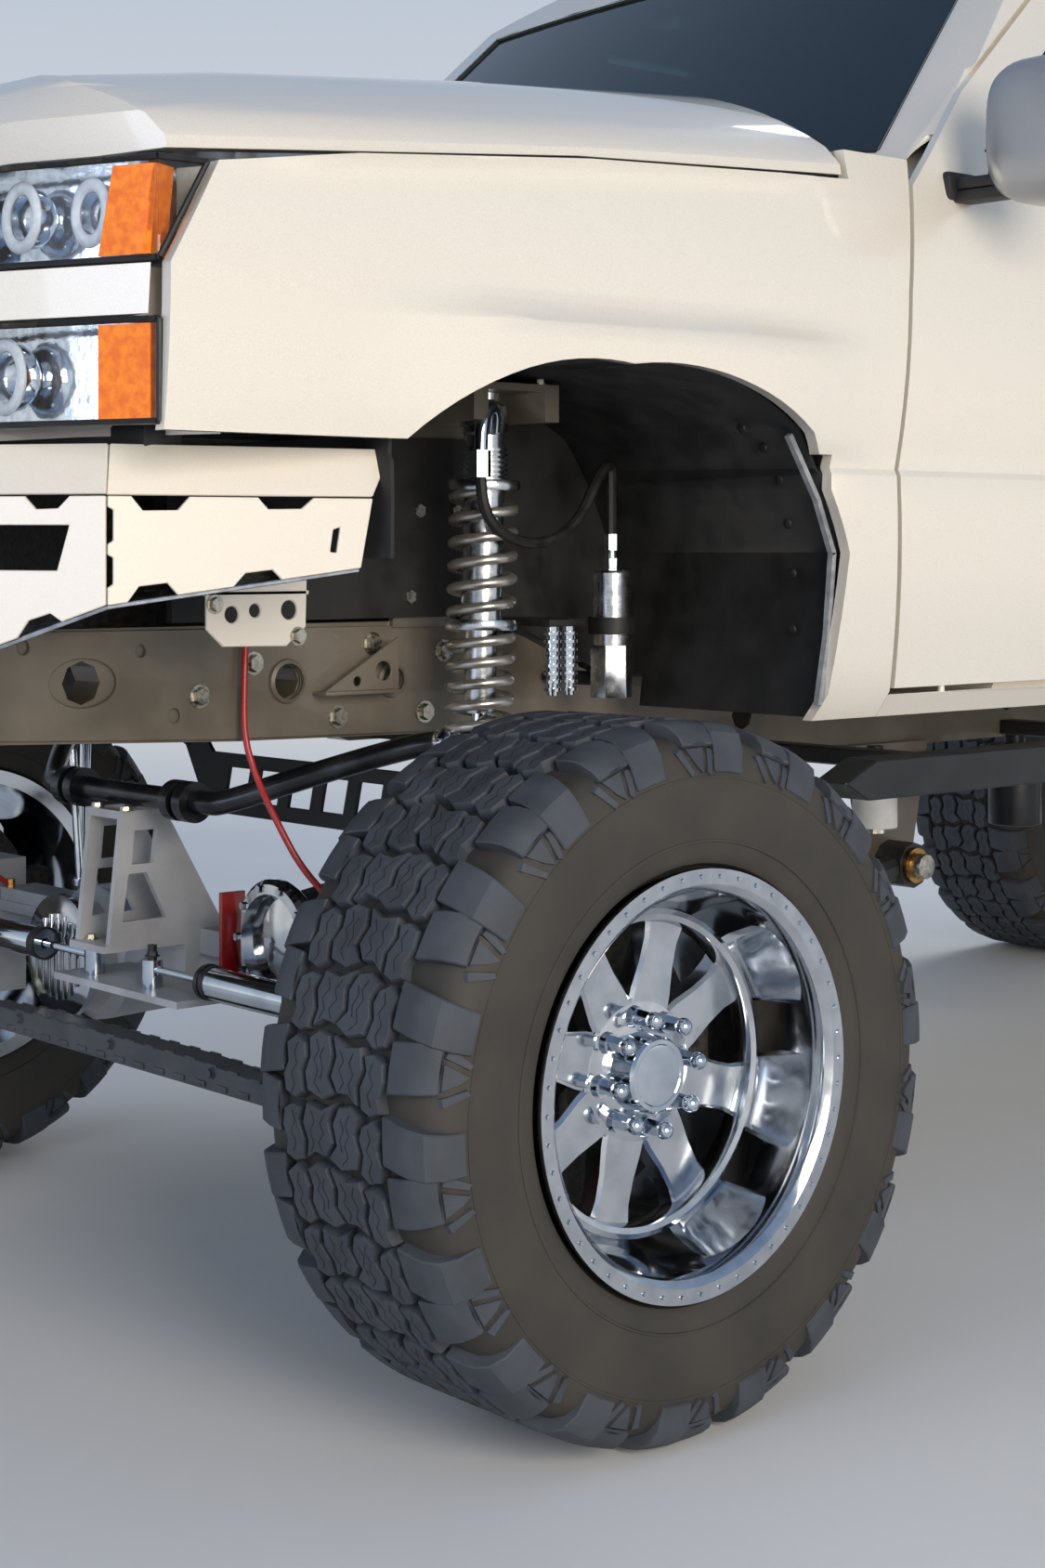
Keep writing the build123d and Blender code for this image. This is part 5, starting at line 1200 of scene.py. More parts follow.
# %% Sway bar, links and axle fittings
sway_shape, link_shape, axle_bolts, cover_shape, red_shape = (bmesh.new() for _ in range(5))
half_bar = [(70, 560, 930), (66, 520, 928), (-60, 380, 872), (-150, 268, 824), (-158, 230, 821)]
bar_points = [spot(b, y, z) for b, y, z in half_bar] + [spot(b, -y, z) for b, y, z in half_bar[::-1]]
add_tube(sway_shape, bar_points, 0.0195, 20)
for hand, sign in SIDES:
    for y in (150, 190):
        add_spun(sway_shape, [(0.019, -0.012), (0.034, -0.012), (0.034, 0.012), (0.019, 0.012)],
                 spot(-158, sign * y, 821), (0, 1, 0), 32, True)
    bmesh.ops.create_uvsphere(link_shape, u_segments=20, v_segments=12, radius=0.023,
                              matrix=Matrix.Translation(spot(70, sign * 566, 930)))
    add_bar(link_shape, spot(70, sign * 548, 930), spot(70, sign * 596, 930), 0.010, 16)
    add_bar(link_shape, spot(70, sign * 588, 930), spot(70, sign * 600, 930), 0.0165, 6)
    add_bar(link_shape, spot(70, sign * 566, 915), spot(78, sign * 540, 592), 0.0085, 16)
    add_bar(link_shape, spot(78, sign * 541, 600), spot(78, sign * 540, 562), 0.017, 16)
    add_bar(link_shape, spot(71, sign * 564, 880), spot(71, sign * 563, 850), 0.013, 6)
    for b, y, z in ((-120, 40, 797), (-190, 40, 797), (-120, -50, 797), (-190, -50, 797)):
        add_bolt(axle_bolts, spot(b, y, z - 1), (0, 0, 1), 0.011)
    for b in (-75, -205):
        add_bolt(axle_bolts, spot(b, sign * 34 - 12, 572), (0, 0, 1), 0.011)
    for y in (515, 645):
        for b in (60, 150):
            add_bolt(axle_bolts, spot(b, sign * y, 560.5), (0, 0, 1), 0.013)
    for z in (604, 396):
        add_spun(axle_bolts, [(0.0001, 0.008), (0.022, 0.008), (0.030, 0.004), (0.030, -0.004), (0.0001, -0.004)],
                 spot(0, sign * 770, z + (15 if z > 500 else -15)), (0, 0, 1 if z > 500 else -1), 32)
    for b in (0, 105):
        add_bolt(axle_bolts, spot(b, sign * 416, 490 - b * 0.3), (0, sign, 0), 0.014)
    add_bar(axle_bolts, spot(1300, sign * 516, 625), spot(1300, sign * 548, 625), 0.024, 28, soften=0.002)
# Polished cover ring with its red guard, ahead of the axle's truss
add_spun(cover_shape, [(0.078, -0.016), (0.098, -0.014), (0.104, -0.004), (0.104, 0.008), (0.096, 0.016),
                       (0.080, 0.017)], spot(-58, 292, 592), (1, 0, 0), 56, True)
add_spun(cover_shape, [(0.0001, 0.004), (0.040, 0.002), (0.082, -0.006), (0.082, -0.014), (0.0001, -0.014)],
         spot(-58, 292, 592), (1, 0, 0), 48)
for k in range(10):
    turn = math.tau * k / 10
    add_bolt(cover_shape, spot(-74, 292 + 91 * math.cos(turn), 592 + 91 * math.sin(turn)), (1, 0, 0), 0.008, False)
for y in (176, 402):
    add_box(red_shape, spot(-44, y - 5, 520), spot(-92, y + 5, 664), 0.0015)
add_box(red_shape, spot(-44, 176, 514), spot(-84, 402, 522), 0.001)
# Polished cover on the differential of the other side
add_spun(cover_shape, [(0.0001, 0.010), (0.060, 0.0095), (0.088, 0.008), (0.100, 0.006), (0.112, 0.006),
                       (0.112, -0.006), (0.0001, -0.006)], spot(-108, -300, 500), (1, 0, 0), 48)
for k in range(7):
    y = -300 + (k - 3) * 22
    reach = 0.078 * math.sqrt(max(0.05, 1 - ((k - 3) / 3.7) ** 2))
    add_box(cover_shape, spot(-112, y - 2.5, 500 - reach * 1000), spot(-122, y + 2.5, 500 + reach * 1000), 0.001)
piece("sway_bar_tube", sway_shape, "root", "black_steel", bar_steel, 45, ("sway_bar",))
piece("sway_bar_links", link_shape, "root", "chrome", chromed_steel, 40)
piece("axle_bolts", axle_bolts, "root", "spring_steel", zinc_bolt, 30)
piece("axle_covers", cover_shape, "root", "chrome", polished_aluminium, 35)
piece("axle_guards", red_shape, "root", "paint", red_enamel, 30)
print("sway bar, links and covers")

# %% [markdown]
# ## Brake line and steering details
#
# A red braided brake line drops from the frame to the axle in an easy curve. The tie
# rod is a beam welded from interlocking plates, so a row of tabs shows along its
# edges. The stabilisers are chromed cylinders with dark end caps.

# %% Brake line, tie-rod tabs and stabiliser caps
line_shape, fitting_shape = bmesh.new(), bmesh.new()
for hand, sign in SIDES:
    run = [(-236, 452, 1112), (-242, 456, 1040), (-247, 462, 950), (-238, 480, 890), (-232, 520, 830),
           (-205, 560, 745), (-150, 600, 680), (-80, 620, 620), (-30, 620, 588)]
    add_tube(line_shape, [spot(b, sign * y, z) for b, y, z in run], 0.0055, 12)
    add_bar(fitting_shape, spot(-236, sign * 452, 1100), spot(-236, sign * 452, 1124), 0.009, 6)
    add_bar(fitting_shape, spot(-30, sign * 620, 600), spot(-30, sign * 620, 582), 0.009, 6)
piece("brake_lines", line_shape, "root", "rubber", red_hose, 50)
piece("brake_line_fittings", fitting_shape, "root", "spring_steel", brass, 30)
tabs = bmesh.new()
for index in range(25):
    y = -720 + 60 * index
    top = 391 + (8 if abs(y) > 540 else 8 + 14 * (540 - max(abs(y), 250)) / 290)
    for edge in (-26.4, 22.4):
        add_box(tabs, spot(-170 - edge, y - 14, top - 1.5), spot(-170 - edge - 4, y + 14, top + 2.0), 0.0004)
    add_box(tabs, spot(-170 - 25.4, y + 16, 373), spot(-170 - 27.8, y + 44, 382), 0.0004)
for y in (-600, -300, 0, 300, 600):
    add_bolt(tabs, spot(-196.0, y, 392 + (6 if abs(y) < 400 else 0)), (1, 0, 0), 0.009)
piece("tie_rod_tabs", tabs, "tie_rod", "frame_paint", beam_grey, 30)
caps, centre_block = bmesh.new(), bmesh.new()
for hand, sign in SIDES:
    for y, radius in ((257, 29.5), (270, 28.2), (592, 29.5)):
        add_spun(caps, [(radius / 1000 - 0.004, -0.005), (radius / 1000, -0.005), (radius / 1000, 0.005),
                        (radius / 1000 - 0.004, 0.005)], spot(-170, sign * y, 535), (0, 1, 0), 40, True)
piece("stabiliser_caps", caps, "tie_rod", "black_steel", black_enamel, 30)
for sign in (1, -1):
    add_bar(centre_block, spot(-170, sign * 90, 548), spot(-170, sign * 90, 575), 0.008, 16)
    add_bolt(centre_block, spot(-170, sign * 90, 556), (0, 0, 1), 0.011)
add_box(centre_block, spot(-140, -120, 496), spot(-200, 120, 503), 0.001)
piece("stabiliser_bracket", centre_block, "root", "black_steel", black_enamel, 30)
print("brake lines, tabs and caps")

# %% [markdown]
# ## Crossmember under the engine
#
# Between the frame rails hangs a plate crossmember, cut out with slanted windows to
# save weight. It is one flat outline with holes, extruded to its thickness, with a
# folded flange below and bolts through its ears.

# %% Crossmember with windows
member_shape = bmesh.new()
member_outline = [(-436, 925), (-400, 925), (-330, 850), (330, 850), (400, 925), (436, 925),
                  (436, 880), (350, 735), (-350, 735), (-436, 880)]
windows = [[(c - 40, 762), (c + 26, 762), (c + 42, 824), (c - 24, 824)] for c in range(-250, 251, 100)]
across_truck = Matrix(((0, 0, 1, at(250)), (1, 0, 0, 0), (0, 1, 0, 0), (0, 0, 0, 1)))
add_plate(member_shape, [[(y / 1000, z / 1000) for y, z in line] for line in [member_outline] + windows],
          0.008, across_truck, 0.001)
add_box(member_shape, spot(310, -350, 734), spot(243, 350, 741), 0.001)
for hand, sign in SIDES:
    for z in (905, 870):
        add_bolt(member_shape, spot(242, sign * 414, z), (1, 0, 0), 0.012)
piece("engine_crossmember", member_shape, "root", "black_steel", black_enamel, 30)
print("crossmember with", len(windows), "windows")

# %% [markdown]
# ## Behind the front wheel
#
# Under the cab hang a fuel filter, a black canister and the rear end of the axle's
# link, whose bolt is ringed with brass. The inner fender's plastic liner is fixed by
# push pins, and a light strip covers the edge of the arch.

# %% Parts behind the wheel and liner pins
under, bright_bits, white_bits, brass_bits = (bmesh.new() for _ in range(4))
for sign in (1, -1):
    add_bar(under, spot(1560, sign * 560, 690), spot(1560, sign * 560, 850), 0.052, 32, soften=0.004)
    add_bar(under, spot(1560, sign * 560, 846), spot(1560, sign * 560, 868), 0.020, 16)
    add_bar(brass_bits, spot(1300, sign * 517, 625), spot(1300, sign * 524, 625), 0.034, 32)
add_bar(white_bits, spot(1130, 560, 715), spot(1130, 560, 795), 0.042, 32, soften=0.003)
add_bar(under, spot(1130, 560, 795), spot(1130, 560, 850), 0.046, 32, soften=0.003)
add_bar(under, spot(1130, 560, 848), spot(1130, 560, 868), 0.016, 16)
add_bar(bright_bits, spot(1130, 560, 705), spot(1130, 560, 716), 0.020, 6)
piece("underbody_canisters", under, "root", "black_steel", black_enamel, 35)
piece("filter_body", white_bits, "root", "paint", filter_white, 35)
piece("filter_drain", bright_bits, "root", "spring_steel", zinc_bolt, 35)
piece("link_bolt_rings", brass_bits, "root", "iron", brass, 35)
pins = bmesh.new()
strip = bmesh.new()
for sign in (1, -1):
    for b, z in ((560, 1120), (560, 1210), (548, 1290), (528, 1360), (490, 1410), (440, 1440)):
        add_spun(pins, [(0.0001, 0.003), (0.007, 0.002), (0.009, 0.0), (0.0001, -0.002)],
                 spot(b - 42, sign * 900, z - 12), (1, 0, -0.2), 14)
    run = [(431, 1418), (497, 1318), (535, 1231), (522, 1100), (500, 990)]
    for (b1, z1), (b2, z2) in zip(run, run[1:]):
        away = Vector((b2 - b1, z2 - z1)).normalized()
        shift = Vector((-away.y, away.x)) * -9
        quad = [(b1, z1), (b2, z2), (b2 + shift.x, z2 + shift.y), (b1 + shift.x, z1 + shift.y)]
        flat = Matrix(((-1, 0, 0, at(0)), (0, 0, 1, sign * 0.968), (0, 1, 0, 0), (0, 0, 0, 1)))
        add_plate(strip, [[(b / 1000, z / 1000) for b, z in quad]], 0.010 * sign, flat, 0)
piece("liner_pins", pins, "root", "rubber", soft_rubber, 35)
piece("arch_edge_strip", strip, "root", "rubber", grey_rubber, 30)
print("underbody parts, pins and edge strip")

# %% [markdown]
# ## Fender and liner shapes
#
# Above the wheel arch the fender has a soft raised brow, pressed into the sheet. The
# softened copy is cut into smaller faces there, and its skin is moved outwards by two
# centimetres below one line. Along the hood the skin rolls inwards instead. The
# plastic liner is trimmed in front of the wheel, where the real one leaves the frame
# open to view.

# %% Brow over the arch and trimmed liner
def smooth_step(value, low, high):
    """0 below low, 1 above high, with a soft rise between them."""
    share = min(1.0, max(0.0, (value - low) / (high - low)))
    return share * share * (3 - 2 * share)


fender_mesh = bpy.data.objects["front_fenders_soft"].data
shape = bmesh.new()
shape.from_mesh(fender_mesh)
bmesh.ops.triangulate(shape, faces=[f for f in shape.faces if len(f.verts) > 4 and abs(f.normal.y) > 0.5])
def cut_sides(shape, point, normal):
    """Cut the outer side faces of a shape along a plane."""
    near = [f for f in shape.faces if abs(f.normal.y) > 0.5]
    touched = list({g for f in near for g in (*f.verts, *f.edges)}) + near
    bmesh.ops.bisect_plane(shape, geom=touched, plane_co=point, plane_no=normal)


# Hood shut line as (behind, z); the fender's skin rolls inwards below it
HOOD_LINE = [(-665, 1727), (-446, 1758), (-23, 1796), (511, 1824)]
BROW_LOW, BROW_HIGH, BROW_DEPTH = 1554, 1606, 0.026
ROLL_HEIGHT, ROLL_DEPTH = 44, 0.013
for low in (1400, 1440, 1480, 1530, BROW_LOW, 1564, 1575, 1586, 1596, BROW_HIGH):
    cut_sides(shape, (0, 0, low / 1000), (0, 0, 1))
for behind in (-560, -490, -420, -330, -240, -150, -60, 30, 120, 210, 300, 390, 480, 570):
    cut_sides(shape, (at(behind), 0, 0), (1, 0, 0))
for (b1, z1), (b2, z2) in zip(HOOD_LINE, HOOD_LINE[1:]):
    for drop in (8, 18, 30, ROLL_HEIGHT):
        cut_sides(shape, (at(b1), 0, (z1 - drop) / 1000), (z2 - z1, 0, b2 - b1))


def hood_line_z(behind):
    """Height of the hood shut line at a station."""
    for (b1, z1), (b2, z2) in zip(HOOD_LINE, HOOD_LINE[1:]):
        if behind <= b2:
            break
    return z1 + (z2 - z1) * (behind - b1) / (b2 - b1)


for vert in shape.verts:
    behind, z = (FRONT_AXLE - vert.co.x) * 1000, vert.co.z * 1000
    if abs(vert.co.y) < 0.93:
        continue
    rise = (1 - min(1, max(0, (z - BROW_LOW) / (BROW_HIGH - BROW_LOW)))) ** 2
    reach = smooth_step(behind, -430, -180) * (1 - smooth_step(behind, 330, 590))
    out = BROW_DEPTH * rise * reach * smooth_step(z, 1330, 1420)
    drop = min(1, max(0, (hood_line_z(behind) - z) / ROLL_HEIGHT))
    roll = smooth_step(behind, -640, -470) * (1 - smooth_step(behind, 430, 515))
    out -= ROLL_DEPTH * (1 - drop) ** 2 * roll
    vert.co.y += math.copysign(out, vert.co.y)
shape.to_mesh(fender_mesh)
shape.free()
fender_mesh.shade_smooth()
fender_mesh.set_sharp_from_angle(angle=math.radians(24))


def cut_away(node, blocks, finish):
    """Copy of a node without what lies inside some blocks, given by their corners."""
    mesh = nodes[node].data.copy()
    mesh.name = node + "_trimmed"
    made = bpy.data.objects.new(mesh.name, mesh)
    bpy.context.scene.collection.objects.link(made)
    for low, high in blocks:
        knife_shape = bmesh.new()
        add_box(knife_shape, low, high)
        knife_mesh = bpy.data.meshes.new("knife")
        knife_shape.to_mesh(knife_mesh)
        knife_shape.free()
        knife = bpy.data.objects.new("knife", knife_mesh)
        bpy.context.scene.collection.objects.link(knife)
        cut = made.modifiers.new("cut", "BOOLEAN")
        cut.operation, cut.object, cut.solver = "DIFFERENCE", knife, "EXACT"
        result = bpy.data.meshes.new_from_object(made.evaluated_get(bpy.context.evaluated_depsgraph_get()))
        made.modifiers.remove(cut)
        made.data = result
        bpy.data.objects.remove(knife)
    made.data.materials.clear()
    made.data.materials.append(finish)
    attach(made, body_of[node])
    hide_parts(node)
    return made


trimmed = cut_away("wheel_liners", [(spot(-330, 462, 900), spot(-460, 1010, 1225)),
                                    (spot(-330, -1010, 900), spot(-460, -462, 1225))], liner_plastic)
print("brow on the fenders, liner of", len(trimmed.data.polygons), "faces")

# %% [markdown]
# ## Under the hood
#
# The picture keeps the hood shut, so this is what such a truck has there: a covered
# engine with cast valve covers, a radiator behind the grille, a battery, an air box
# and their hoses. All are moulded or cast boxes with rounded edges and ribs, and the
# hoses are bent tubes.

# %% Engine bay
ENGINE_TOP = 1540
moulded, cast, rubber_parts = (bmesh.new() for _ in range(3))
add_box(moulded, spot(180, -175, ENGINE_TOP - 2), spot(-330, 175, ENGINE_TOP + 62), 0.018)
for k in range(7):
    y = -120 + 40 * k
    add_box(moulded, spot(140, y - 6, ENGINE_TOP + 56), spot(-290, y + 6, ENGINE_TOP + 70), 0.004)
add_box(moulded, spot(-450, 470, 1398), spot(-650, 790, 1590), 0.020)
for k in range(6):
    add_box(moulded, spot(-470, 500 + 46 * k, 1584), spot(-630, 512 + 46 * k, 1598), 0.003)
add_box(moulded, spot(-450, -780, 1398), spot(-640, -530, 1580), 0.010)
add_box(moulded, spot(-455, -785, 1572), spot(-635, -525, 1596), 0.006)
add_box(moulded, spot(-640, -880, 1368), spot(-700, 880, 1400), 0.004)
add_box(moulded, spot(-440, 450, 1386), spot(-660, 800, 1400), 0.003)
add_box(moulded, spot(-440, -800, 1386), spot(-660, -510, 1400), 0.003)
for z in (1100, 1610):
    add_box(moulded, spot(-664, -430, z), spot(-716, 430, z + 50), 0.010)
for sign in (1, -1):
    add_box(cast, spot(250, min(sign * 186, sign * 262), ENGINE_TOP - 2), spot(-400, max(sign * 186, sign * 262),
                                                                            ENGINE_TOP + 40), 0.012)
    for k in range(6):
        add_bolt(cast, spot(-360 + 116 * k, sign * 224, ENGINE_TOP + 39), (0, 0, 1), 0.010)
for k in range(58):
    y = -422 + 14.8 * k
    add_box(cast, spot(-672, y - 1.5, 1145), spot(-706, y + 1.5, 1615), 0)
for y in (-700, -610):
    add_bar(cast, spot(-500, y, 1594), spot(-500, y, 1612), 0.009, 16)
hoses = [([(-540, 480, 1520), (-540, 400, 1530), (-480, 330, 1590), (-420, 200, 1600), (-340, 120, 1585)], 0.038),
         ([(-690, 300, 1635), (-600, 296, 1650), (-500, 250, 1600), (-410, 160, 1520)], 0.024),
         ([(-500, -610, 1606), (-440, -560, 1640), (-380, -400, 1600), (-300, -262, 1500)], 0.009)]
for run, radius in hoses:
    add_tube(rubber_parts, [spot(*corner) for corner in run], radius, 16)
piece("engine_bay_mouldings", moulded, "root", "black_plastic", trim_plastic, 30)
piece("engine_bay_castings", cast, "root", "wheel_metal", turned_aluminium, 30)
piece("engine_bay_hoses", rubber_parts, "root", "rubber", soft_rubber, 40)
print("engine bay:", len(hoses), "hoses")

# %% [markdown]
# ## Seals and wipers
#
# Every pane sits in a black rubber seal. The seal follows the pane's own edges, so it
# is laid along the sharp edges of the CAD glass. The wipers rest on the windshield;
# their points are found by looking along a line until it meets the glass.

# %% Seals round the glass, wipers
from mathutils.bvhtree import BVHTree


def surface_of(node):
    """Tree that finds where a line meets a node."""
    mesh = nodes[node].data
    return BVHTree.FromPolygons([v.co for v in mesh.vertices], [tuple(p.vertices) for p in mesh.polygons])


def seal_along(node, radius):
    """Rubber round each pane: a bar along every sharp edge of its node."""
    source, seal = bmesh.new(), bmesh.new()
    source.from_mesh(nodes[node].data)
    bmesh.ops.remove_doubles(source, verts=source.verts, dist=2e-5)
    bmesh.ops.dissolve_limit(source, angle_limit=math.radians(2), verts=source.verts, edges=source.edges)
    for edge in source.edges:
        if len(edge.link_faces) == 2 and edge.calc_face_angle(0) > math.radians(40) and edge.calc_length() > 0.012:
            add_bar(seal, edge.verts[0].co, edge.verts[1].co, radius, 6)
    source.free()
    return seal


for node, radius in (("cab_glass", 0.0075), ("glass_front_left", 0.0055), ("glass_front_right", 0.0055),
                     ("glass_rear_left", 0.0055), ("glass_rear_right", 0.0055)):
    piece(f"seal_{node}", seal_along(node, radius), body_of[node], "rubber", soft_rubber, 60)
screen_surface = surface_of("cab_glass")


def on_screen(y, z, off=0.0):
    """Point on the windshield for a place across and a height, moved off the glass."""
    hit, normal, _, _ = screen_surface.ray_cast(Vector((2.4, y / 1000, z / 1000)), Vector((-1, 0, 0)))
    if hit is None:
        return None
    return hit + (normal if normal.x > 0 else -normal) * off


wipers = bmesh.new()
for inner, outer, foot in ((-60, 560, 640), (-690, -110, -20)):
    blade = [on_screen(y, z, 0.012) for y, z in ((inner, 1968), ((inner + outer) / 2, 1976), (outer, 1972))]
    if None in blade:
        continue
    for start, end in zip(blade, blade[1:]):
        add_bar(wipers, start, end, 0.0045, 8)
        add_bar(wipers, start + Vector((0.008, 0, 0.006)), end + Vector((0.008, 0, 0.006)), 0.0035, 8)
    base = on_screen(foot, 1935, 0.022)
    if base is not None:
        add_bar(wipers, base, blade[1] + Vector((0.010, 0, 0.008)), 0.0055, 10, 0.004)
        add_bar(wipers, base - Vector((0.004, 0, 0.03)), base + Vector((0.002, 0, 0.008)), 0.013, 20, 0.010)
piece("wipers", wipers, "root", "black_plastic", trim_plastic, 40)
print("seals and wipers")

# %% [markdown]
# ## Mirrors and door handles
#
# A towing mirror's shell is a deep rounded block in silver plastic, blown full like a
# pillow, with the flat mirror glass set in its back. It stands on a short arm. Door
# handles are pulls in body colour over their recess, which is drawn as a flat black
# patch of painted shade.

# %% Mirrors and handles
def add_pillow(shape, centre, half_y, half_z, rows, power=3.4, count=40):
    """Rounded shell lofted along X through rows of (x offset, share of the full outline)."""
    rings = []
    for x, share in rows:
        ring = []
        for k in range(count):
            turn = math.tau * k / count
            c, s = math.cos(turn), math.sin(turn)
            y = math.copysign(abs(c) ** (2 / power), c) * half_y * share
            z = math.copysign(abs(s) ** (2 / power), s) * half_z * share
            ring.append(shape.verts.new(Vector(centre) + Vector((x, y, z))))
        rings.append(ring)
    for low, high in zip(rings, rings[1:]):
        for k in range(count):
            n = (k + 1) % count
            shape.faces.new((low[k], low[n], high[n], high[k]))
    shape.faces.new(rings[0])
    shape.faces.new(rings[-1][::-1])


for hand, sign in SIDES:
    side_turn = Matrix.Identity(4) if sign == 1 else ACROSS
    shell, glass_shape, arm = bmesh.new(), bmesh.new(), bmesh.new()
    add_pillow(shell, spot(905, 1154, 1918), 0.106, 0.120,
               [(0.000, 0.955), (0.003, 0.985), (0.010, 1.0), (0.055, 0.99), (0.080, 0.95), (0.097, 0.87),
                (0.108, 0.72), (0.113, 0.52), (0.1148, 0.25)])
    add_pillow(glass_shape, spot(905.5, 1154, 1945), 0.094, 0.082, [(-0.0020, 0.98), (0.0, 1.0), (0.004, 1.0)])
    add_pillow(glass_shape, spot(905.5, 1154, 1832), 0.090, 0.022, [(-0.0015, 0.96), (0.0, 1.0), (0.004, 1.0)])
    for z in (1846, 1826):
        add_box(arm, spot(875, 945, z - 12), spot(825, 1110, z + 8), 0.005)
    add_box(arm, spot(890, 946, 1816), spot(808, 988, 1866), 0.010)
    add_spun(arm, [(0.0001, 0.022), (0.016, 0.020), (0.022, 0.014), (0.022, -0.012), (0.0001, -0.014)],
             spot(850, 1062, 1846), (0, 0, 1), 28)
    body = f"front_door_{hand}"
    piece(f"mirror_shell_{hand}", shell, body, "mirror_plastic", mirror_shell_plastic, 50, (f"mirror_{hand}",),
          side_turn)
    piece(f"mirror_glass_{hand}", glass_shape, body, "chrome", mirror_silver, 30, (), side_turn)
    piece(f"mirror_arm_{hand}", arm, body, "black_plastic", trim_plastic, 35, (), side_turn)
    for name, behind in (("front", 1590), ("rear", 2480)):
        skin = surface_of(f"door_{name}_{hand}")
        hit, _, _, _ = skin.ray_cast(Vector((at(behind), sign * 2.0, 1.700)), Vector((0, -sign, 0)))
        y = abs(hit.y) * 1000 if hit is not None else 990
        pull, recess_shade = bmesh.new(), bmesh.new()
        add_box(pull, spot(behind + 78, y + 14, 1686), spot(behind - 78, y + 32, 1714), 0.007)
        add_box(pull, spot(behind + 76, y - 4, 1688), spot(behind + 56, y + 24, 1712), 0.004)
        add_box(pull, spot(behind - 56, y - 4, 1688), spot(behind - 76, y + 24, 1712), 0.004)
        # Painted shade: this flat black patch behind the pull, 1.2 mm proud of the door, stands in for the shade in the
        # handle's recess
        add_box(recess_shade, spot(behind + 62, y - 3, 1676), spot(behind - 62, y + 1.2, 1724), 0.001)
        add_spun(recess_shade, [(0.0001, 0.002), (0.008, 0.0015), (0.010, 0.0), (0.0001, -0.002)],
                 (at(behind + 100), (y + 1) / 1000, 1.700), (0, 1, 0), 24)
        piece(f"handle_{name}_{hand}", pull, f"{name}_door_{hand}", "paint", pearl_paint, 40, (), side_turn)
        piece(f"handle_cup_{name}_{hand}", recess_shade, f"{name}_door_{hand}", "black_plastic", trim_plastic, 40, (),
              side_turn)
print("mirrors and handles on both sides")

# %% [markdown]
# ## Tail end
#
# The tailgate has a lift handle in a dark bezel, each tail lamp has a clear reversing
# window and ribs behind its red lens, and the rear bumper carries grip pads. The
# truck in the picture hides its tail, so these follow what such trucks have.

# %% Tailgate handle, lamp ribs, bumper pads
rear_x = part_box("tailgate")[0][0]
bezel, lever = bmesh.new(), bmesh.new()
add_box(bezel, (rear_x - 0.002, -0.105, 1.735), (rear_x + 0.006, 0.105, 1.815), 0.003)
add_box(lever, (rear_x - 0.013, -0.080, 1.752), (rear_x - 0.001, 0.080, 1.796), 0.005)
piece("tailgate_bezel", bezel, "tailgate", "black_plastic", trim_plastic, 30)
piece("tailgate_handle", lever, "tailgate", "black_plastic", soft_rubber, 30)
panel = bmesh.new()
for z_low, z_high in ((1395, 1405), (1690, 1700)):
    add_box(panel, (rear_x - 0.004, -0.66, z_low / 1000), (rear_x + 0.004, 0.66, z_high / 1000), 0.003)
piece("tailgate_swages", panel, "tailgate", "paint", pearl_paint, 30)
lamp_low, lamp_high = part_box("tail_lamps")
windows, ribs = bmesh.new(), bmesh.new()
for sign in (1, -1):
    y_low, y_high = 0.878, lamp_high[1] - 0.03
    low, high = sorted((sign * y_low, sign * y_high))
    add_box(windows, (lamp_low[0] - 0.002, low, 1.600), (lamp_low[0] + 0.012, high, 1.655), 0.003)
    for k in range(6):
        z = 1.500 + 0.016 * k
        add_box(ribs, (lamp_low[0] - 0.0025, low, z), (lamp_low[0] + 0.010, high, z + 0.006), 0.001)
        z = 1.680 + 0.024 * k
        add_box(ribs, (lamp_low[0] - 0.0025, low, z), (lamp_low[0] + 0.010, high, z + 0.006), 0.001)
piece("tail_lamp_windows", windows, "root", "lamp", white_lens, 30)
piece("tail_lamp_ribs", ribs, "root", "tail_lamp", red_lens, 30)
bumper_low, bumper_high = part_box("rear_bumper")
pads = bmesh.new()
for sign in (1, -1):
    for k in range(9):
        y = sign * (0.42 + 0.05 * k)
        add_box(pads, (bumper_low[0] + 0.03, y - 0.018, bumper_high[2] - 0.001),
                (bumper_low[0] + 0.11, y + 0.018, bumper_high[2] + 0.004), 0.0015)
piece("bumper_grip_pads", pads, "root", "rubber", soft_rubber, 30)
rails = bmesh.new()
for sign in (1, -1):
    add_box(rails, (at(4850), sign * 0.93 - 0.030, 1.879), (at(2830), sign * 0.93 + 0.030, 1.885), 0.002)
piece("bed_rail_caps", rails, "root", "black_plastic", trim_plastic, 30)
slats = bmesh.new()
grille_low, grille_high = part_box("grille")
print("grille box", [round(v, 3) for v in (*grille_low, *grille_high)])
for k in range(31):
    y = -0.45 + 0.03 * k
    add_box(slats, (grille_high[0] - 0.050, y - 0.002, grille_low[2] + 0.004),
            (grille_high[0] - 0.030, y + 0.002, grille_high[2] - 0.004), 0)
piece("grille_mesh", slats, "root", "black_plastic", trim_plastic, 30)
print("tail end and grille")

# %% [markdown]
# ## Seats
#
# Each front seat has a cushion and a back of foam under woven cloth: crowned, with
# the sides drawn in, and a sewn line across. A slightly smaller block is meshed
# evenly and blown up by a short cloth simulation, which gives the fullness that a
# straight block lacks. The frame and head posts stay as hard pieces below them.

